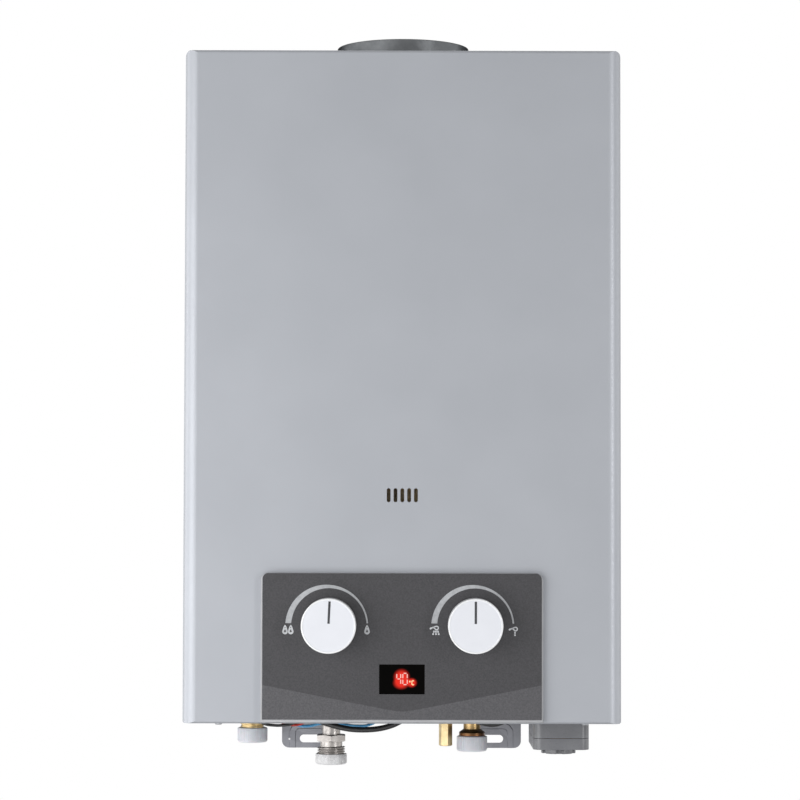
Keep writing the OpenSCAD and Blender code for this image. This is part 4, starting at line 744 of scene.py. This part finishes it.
def ribbed_cap(name, x, y, low, high, ribs=44):
    """A cap round an upright axis, hollow from above, with raised ribs."""
    high_of = (high - low) * MM
    piece = begin(name, bpy.ops.mesh.primitive_cylinder_add, vertices=2 * ribs, radius=10.15 * MM, depth=high_of,
                  location=(x * MM, y * MM, (low + high) / 2 * MM))
    choose(piece, "edges", lambda e: all(abs(v.co.z / MM - low) < 0.01 for v in e.verts))
    bpy.ops.mesh.bevel(offset=1.1 * MM, segments=4, affect="EDGES")
    choose(piece, "edges", lambda e: all(abs(v.co.z / MM - high) < 0.01 for v in e.verts))
    bpy.ops.mesh.bevel(offset=0.35 * MM, segments=2, affect="EDGES")
    choose(piece, "faces", lambda f: f.normal.z > 0.9)
    bpy.ops.mesh.inset(thickness=1.1 * MM)
    bpy.ops.mesh.extrude_region_move(TRANSFORM_OT_translate={"value": (0, 0, 1.6 * MM - high_of)})
    step = math.pi / ribs

    def on_rib(f):
        out = middle(f) - Vector((x, y, 0))
        turn = math.atan2(out.y, out.x) % (2 * math.pi)
        return abs(f.normal.z) < 0.1 and math.hypot(out.x, out.y) > 10 and int(turn / step) % 2 == 0

    choose(piece, "faces", on_rib)
    bpy.ops.mesh.extrude_region_shrink_fatten(TRANSFORM_OT_shrink_fatten={"value": 0.25 * MM})
    return piece


done(ribbed_cap("outlet_cap_ribbed", *OUT, *span("outlet_cap")), "outlet_cap", "cap_white", "outlet_cap")
done(ribbed_cap("inlet_cap_ribbed", *WATER, *span("inlet_cap")), "inlet_cap", "cap_white", "inlet_cap")

# %% [markdown]
# ## Gas connection
# The gas comes in through a nickel-plated fitting: a tube, a hexagon with its corners chamfered, a neck and a
# thread, half covered by a milky cap. The plain parts are turned. The hexagon is a six-sided cylinder from which
# everything outside a turned, chamfered disc is cut away, which gives the curved corners of a real nut. The thread
# is a small ridge carried round and along by the Screw modifier.


# %% Nuts and threads
def nut(name, x, y, low, high, flats, chamfer):
    """A hexagon with a corner to the front, both ends chamfered round."""
    half = flats / 2
    wide = half * 1.17
    rounding = turned("rounding", [(0, low), (half - 0.2, low), (wide, low + chamfer), (wide, high - chamfer),
                                   (half - 0.2, high), (0, high)], (x, y, 0), (0, 0, 1))
    bpy.ops.object.mode_set(mode="OBJECT")
    piece = begin(name, bpy.ops.mesh.primitive_cylinder_add, vertices=6, radius=half / math.cos(math.pi / 6) * MM,
                  depth=(high - low) * MM, location=(x * MM, y * MM, (low + high) / 2 * MM))
    return combine(piece, rounding, "INTERSECT")


def bore(x, y, low, high, radius):
    """A plain plug, for cutting a round hole along an upright axis."""
    bpy.ops.object.mode_set(mode="OBJECT")
    return turned("plug", [(0, low), (radius, low), (radius, high), (0, high)], (x, y, 0), (0, 0, 1), 48)


def ridge(name, x, y, low, turns, pitch, root, crest):
    """The helix of a thread: a closed ridge outline carried round by the Screw modifier, ends filled."""
    outline = [(root, low), (crest, low + pitch * 0.36), (crest, low + pitch * 0.52), (root, low + pitch * 0.88)]
    piece = begin(name, bpy.ops.mesh.primitive_plane_add, size=MM, location=(root * MM, 0, low * MM))
    bpy.ops.mesh.select_all(action="SELECT")
    bpy.ops.mesh.merge(type="CENTER")
    for a, b in zip(outline, outline[1:]):
        bpy.ops.mesh.extrude_region_move(
            TRANSFORM_OT_translate={"value": ((b[0] - a[0]) * MM, 0, (b[1] - a[1]) * MM)})
    choose(piece, "verts", lambda v: abs(v.co.x / MM - root) < 0.001)
    bpy.ops.mesh.edge_face_add()
    bpy.ops.object.mode_set(mode="OBJECT")
    screw = piece.modifiers.new("screw", "SCREW")
    screw.axis, screw.screw_offset, screw.iterations = "Z", pitch * MM, turns
    screw.steps = screw.render_steps = 64
    bpy.ops.object.modifier_apply(modifier=screw.name)
    bpy.ops.object.mode_set(mode="EDIT")
    bpy.ops.mesh.select_all(action="SELECT")
    bpy.ops.mesh.remove_doubles(threshold=0.001 * MM)
    bpy.ops.mesh.fill_holes(sides=6)
    bpy.ops.mesh.normals_make_consistent(inside=False)
    bpy.ops.transform.translate(value=(x * MM, y * MM, 0))
    return piece


def joined(name, *parts):
    """Join finished parts into one piece."""
    bpy.ops.object.mode_set(mode="OBJECT")
    bpy.ops.object.select_all(action="DESELECT")
    for part in parts:
        part.select_set(True)
    bpy.context.view_layer.objects.active = parts[0]
    bpy.ops.object.join()
    parts[0].name = parts[0].data.name = name
    bpy.ops.object.mode_set(mode="EDIT")
    return parts[0]


# %% Gas fitting
end, top = span("gas_inlet")
stem = turned("stem", [(0, top), (6.2, top), (6.2, end + 16), (7.55, end + 16), (7.55, end + 10.3), (8.3, end + 10),
                       (8.4, end + 0.8), (7.8, end), (4.2, end), (4.2, 18), (0, 18)], (*GAS, 0), (0, 0, 1), 64)
bpy.ops.object.mode_set(mode="OBJECT")
hexagon = nut("hexagon", *GAS, end + 14, end + 18.6, 19, 0.75)
bpy.ops.object.mode_set(mode="OBJECT")
helix = ridge("helix", *GAS, end + 0.2, 6, 1.55, 8.3, 9.5)
done(joined("gas_fitting_threaded", stem, hexagon, helix), "chassis", slot_of["gas_inlet"], "gas_inlet")
low, high = span("gas_cap")
cap = turned("gas_cap_milky", [(0, low), (9.4, low)] + curve_of(9.4, low + 1.3, 1.3, -90, 0) + [
    (10.7, high - 0.4), (10.45, high), (10.0, high), (9.85, high - 0.3), (9.85, low + 1.3), (9.6, low + 1.1),
    (0, low + 1.1)], (*GAS, 0), (0, 0, 1))
done(cap, "gas_cap", "cap_clear", "gas_cap")

# %% [markdown]
# ## Water connections
# Hot water leaves through a brass thread on the left. Cold water comes in on the right through a brass stub that
# flares into a collar, with a hexagonal drain beside it. All three are turned or cut as above.

# %% Brass fittings
end = span("outlet_fitting")[0]
stem = turned("stem", [(4.6, 24), (8, 24), (8, 2), (8.3, 1.6), (8.3, -2), (7.6, -2.3), (7.6, end + 0.8), (6.9, end),
                       (4.6, end), (4.6, 24)], (*OUT, 0), (0, 0, 1), 64)
bpy.ops.object.mode_set(mode="OBJECT")
hexagon = nut("hexagon", *OUT, 2.0, 10, 20.66, 0.9)
combine(hexagon, bore(*OUT, 0, 12, 7.9), "DIFFERENCE")
bpy.ops.object.mode_set(mode="OBJECT")
helix = ridge("helix", *OUT, end + 0.3, 9, 1.81, 7.5, 8.33)
done(joined("outlet_fitting_threaded", stem, hexagon, helix), "chassis", slot_of["outlet_fitting"], "outlet_fitting")

end, top = span("inlet_fitting")
stem = turned("stem", [(0, top), (5.8, top), (5.8, end + 13.4), (6.3, end + 12.9), (8.5, end + 11.4),
                       (8.83, end + 11), (8.83, end + 9.1), (8.5, end + 8.8), (7.7, end + 8.6), (7.7, end + 0.6),
                       (7.1, end), (4.3, end), (4.3, 8), (0, 8)], (*WATER, 0), (0, 0, 1), 64)
bpy.ops.object.mode_set(mode="OBJECT")
helix = ridge("helix", *WATER, end + 0.4, 5, 1.34, 7.6, 8.33)
inlet = done(joined("inlet_fitting_threaded", stem, helix), "chassis", slot_of["inlet_fitting"], "inlet_fitting")
dress(inlet, "brass_brazed")

end, top = span("drain_stub")
drain = nut("drain_stub_hexagon", *DRAIN, end, top, 8, 0.6)
combine(drain, bore(*DRAIN, end - 1, end + 10, 1.5), "DIFFERENCE")
bpy.ops.mesh.select_all(action="SELECT")
bpy.ops.transform.rotate(value=math.radians(-20), orient_axis="Z", center_override=(DRAIN[0] * MM, DRAIN[1] * MM, 0))
done(drain, "chassis", slot_of["drain_stub"], "drain_stub")

# %% [markdown]
# ## Flue collar
# The burnt gas leaves through a thin rolled ring on top. Its half outline is drawn with a swaged bead above the
# casing and a curled top edge, then spun. A curl catches the light as one soft line, where a cut edge would not.

# %% Flue collar
rim = span("flue_collar")[1]
profile = ([(44.2, 432.2), (46.95, 432.2), (46.95, 432.95), (45.6, 433.0), (45, 433.6), (45, 446.4)]
           + curve_of(45, 447.4, 1.2, -70, 70, 6) + [(45, 448.5), (45, rim - 0.8)]
           + curve_of(44.6, rim - 0.4, 0.4, 0, 180, 6)
           + [(44.2, 432.2)])
done(turned("flue_collar_rolled", profile, (0, -61, 0), (0, 0, 1), 128), "chassis", slot_of["flue_collar"],
     "flue_collar")

# %% [markdown]
# ## Small hardware
# Two pan-head screws hold the cover from below. One is turned with a domed head, its cross recess is cut with two
# crossed wedges, and the other is a copy with a mesh of its own.

# %% Cover screws
SCREW_X, SCREW_Y = -121, -120
screw = turned("cover_screw_left", [(0, 6), (1.2, 6), (1.75, 5.2), (1.75, 0), (2.6, 0), (2.6, -0.2)]
               + curve_of(1.5, 0, 1.1, -20, -80, 4) + [(0, -1.1)], (SCREW_X, SCREW_Y, 0), (0, 0, 1), 48)
for turn in (35, 125):
    bpy.ops.object.mode_set(mode="OBJECT")
    wedge = begin("wedge", bpy.ops.mesh.primitive_cube_add, size=MM,
                  location=(SCREW_X * MM, SCREW_Y * MM, -0.9 * MM))
    bpy.ops.mesh.select_all(action="SELECT")
    bpy.ops.transform.resize(value=(3.0, 0.65, 1.2), center_override=(SCREW_X * MM, SCREW_Y * MM, -0.9 * MM))
    choose(wedge, "faces", lambda f: f.normal.z > 0.9)
    bpy.ops.transform.resize(value=(0.45, 0.6, 1), center_override=(SCREW_X * MM, SCREW_Y * MM, 0))
    bpy.ops.mesh.select_all(action="SELECT")
    bpy.ops.transform.rotate(value=math.radians(turn), orient_axis="Z",
                             center_override=(SCREW_X * MM, SCREW_Y * MM, 0))
    combine(screw, wedge, "DIFFERENCE")
done(screw, "chassis", slot_of["cover_screws"], "cover_screws")
bpy.ops.object.select_all(action="DESELECT")
screw.select_set(True)
bpy.context.view_layer.objects.active = screw
bpy.ops.object.duplicate(linked=False)
twin = bpy.context.object
twin.name = twin.data.name = "cover_screw_right"
bpy.ops.object.mode_set(mode="EDIT")
bpy.ops.mesh.select_all(action="SELECT")
bpy.ops.transform.translate(value=(-2 * SCREW_X * MM, 0, 0))
done(twin, "chassis", slot_of["cover_screws"], "cover_screws")

# %% [markdown]
# ## Softened mouldings
# The battery lid, its lock and the panel frame are moulded, so no edge is sharp. Each is a copy of its CAD mesh:
# the copy's loose triangles are merged and dissolved back to whole faces, the edges a hand or the light meets are
# chosen by place, and a bevel rounds them.


# %% Battery lid, lock and panel frame
BOX_X, BOX_Y = 106.5, -65.5


def softened(name, node, body, radius, steps, test):
    """Copy a CAD mesh, clean it to whole faces and round the edges that pass a test."""
    bpy.ops.object.select_all(action="DESELECT")
    cad[node].select_set(True)
    bpy.context.view_layer.objects.active = cad[node]
    bpy.ops.object.duplicate(linked=False)
    piece = bpy.context.object
    piece.name = piece.data.name = name
    bpy.ops.object.mode_set(mode="EDIT")
    bpy.ops.mesh.select_all(action="SELECT")
    bpy.ops.mesh.remove_doubles(threshold=0.002 * MM)
    bpy.ops.mesh.dissolve_limited(angle_limit=math.radians(1))
    choose(piece, "edges", test)
    bpy.ops.mesh.bevel(offset=radius * MM, segments=steps, affect="EDGES", clamp_overlap=True)
    return done(piece, body, slot_of[node], node)


def low_rim(low, clear):
    """Edges at one height, away from the middle of the battery box."""
    return lambda e: (all(abs(v.co.z / MM - low) < 0.02 for v in e.verts)
                      and math.hypot(middle(e).x - BOX_X, middle(e).y - BOX_Y) > clear)


softened("battery_lid_soft", "battery_lid", "battery_lid", 2.2, 5, low_rim(span("battery_lid")[0], 10))
softened("battery_lock_soft", "battery_lock", "battery_lock", 0.6, 3, low_rim(span("battery_lock")[0], 5))
softened("panel_base_soft", "panel_base", "chassis", 1.0, 3,
         lambda e: all(abs(v.co.y / MM + 130.4) < 0.02 for v in e.verts)
         and (abs(middle(e).x) > 91.5 or middle(e).z < 2.5 or middle(e).z > 95))
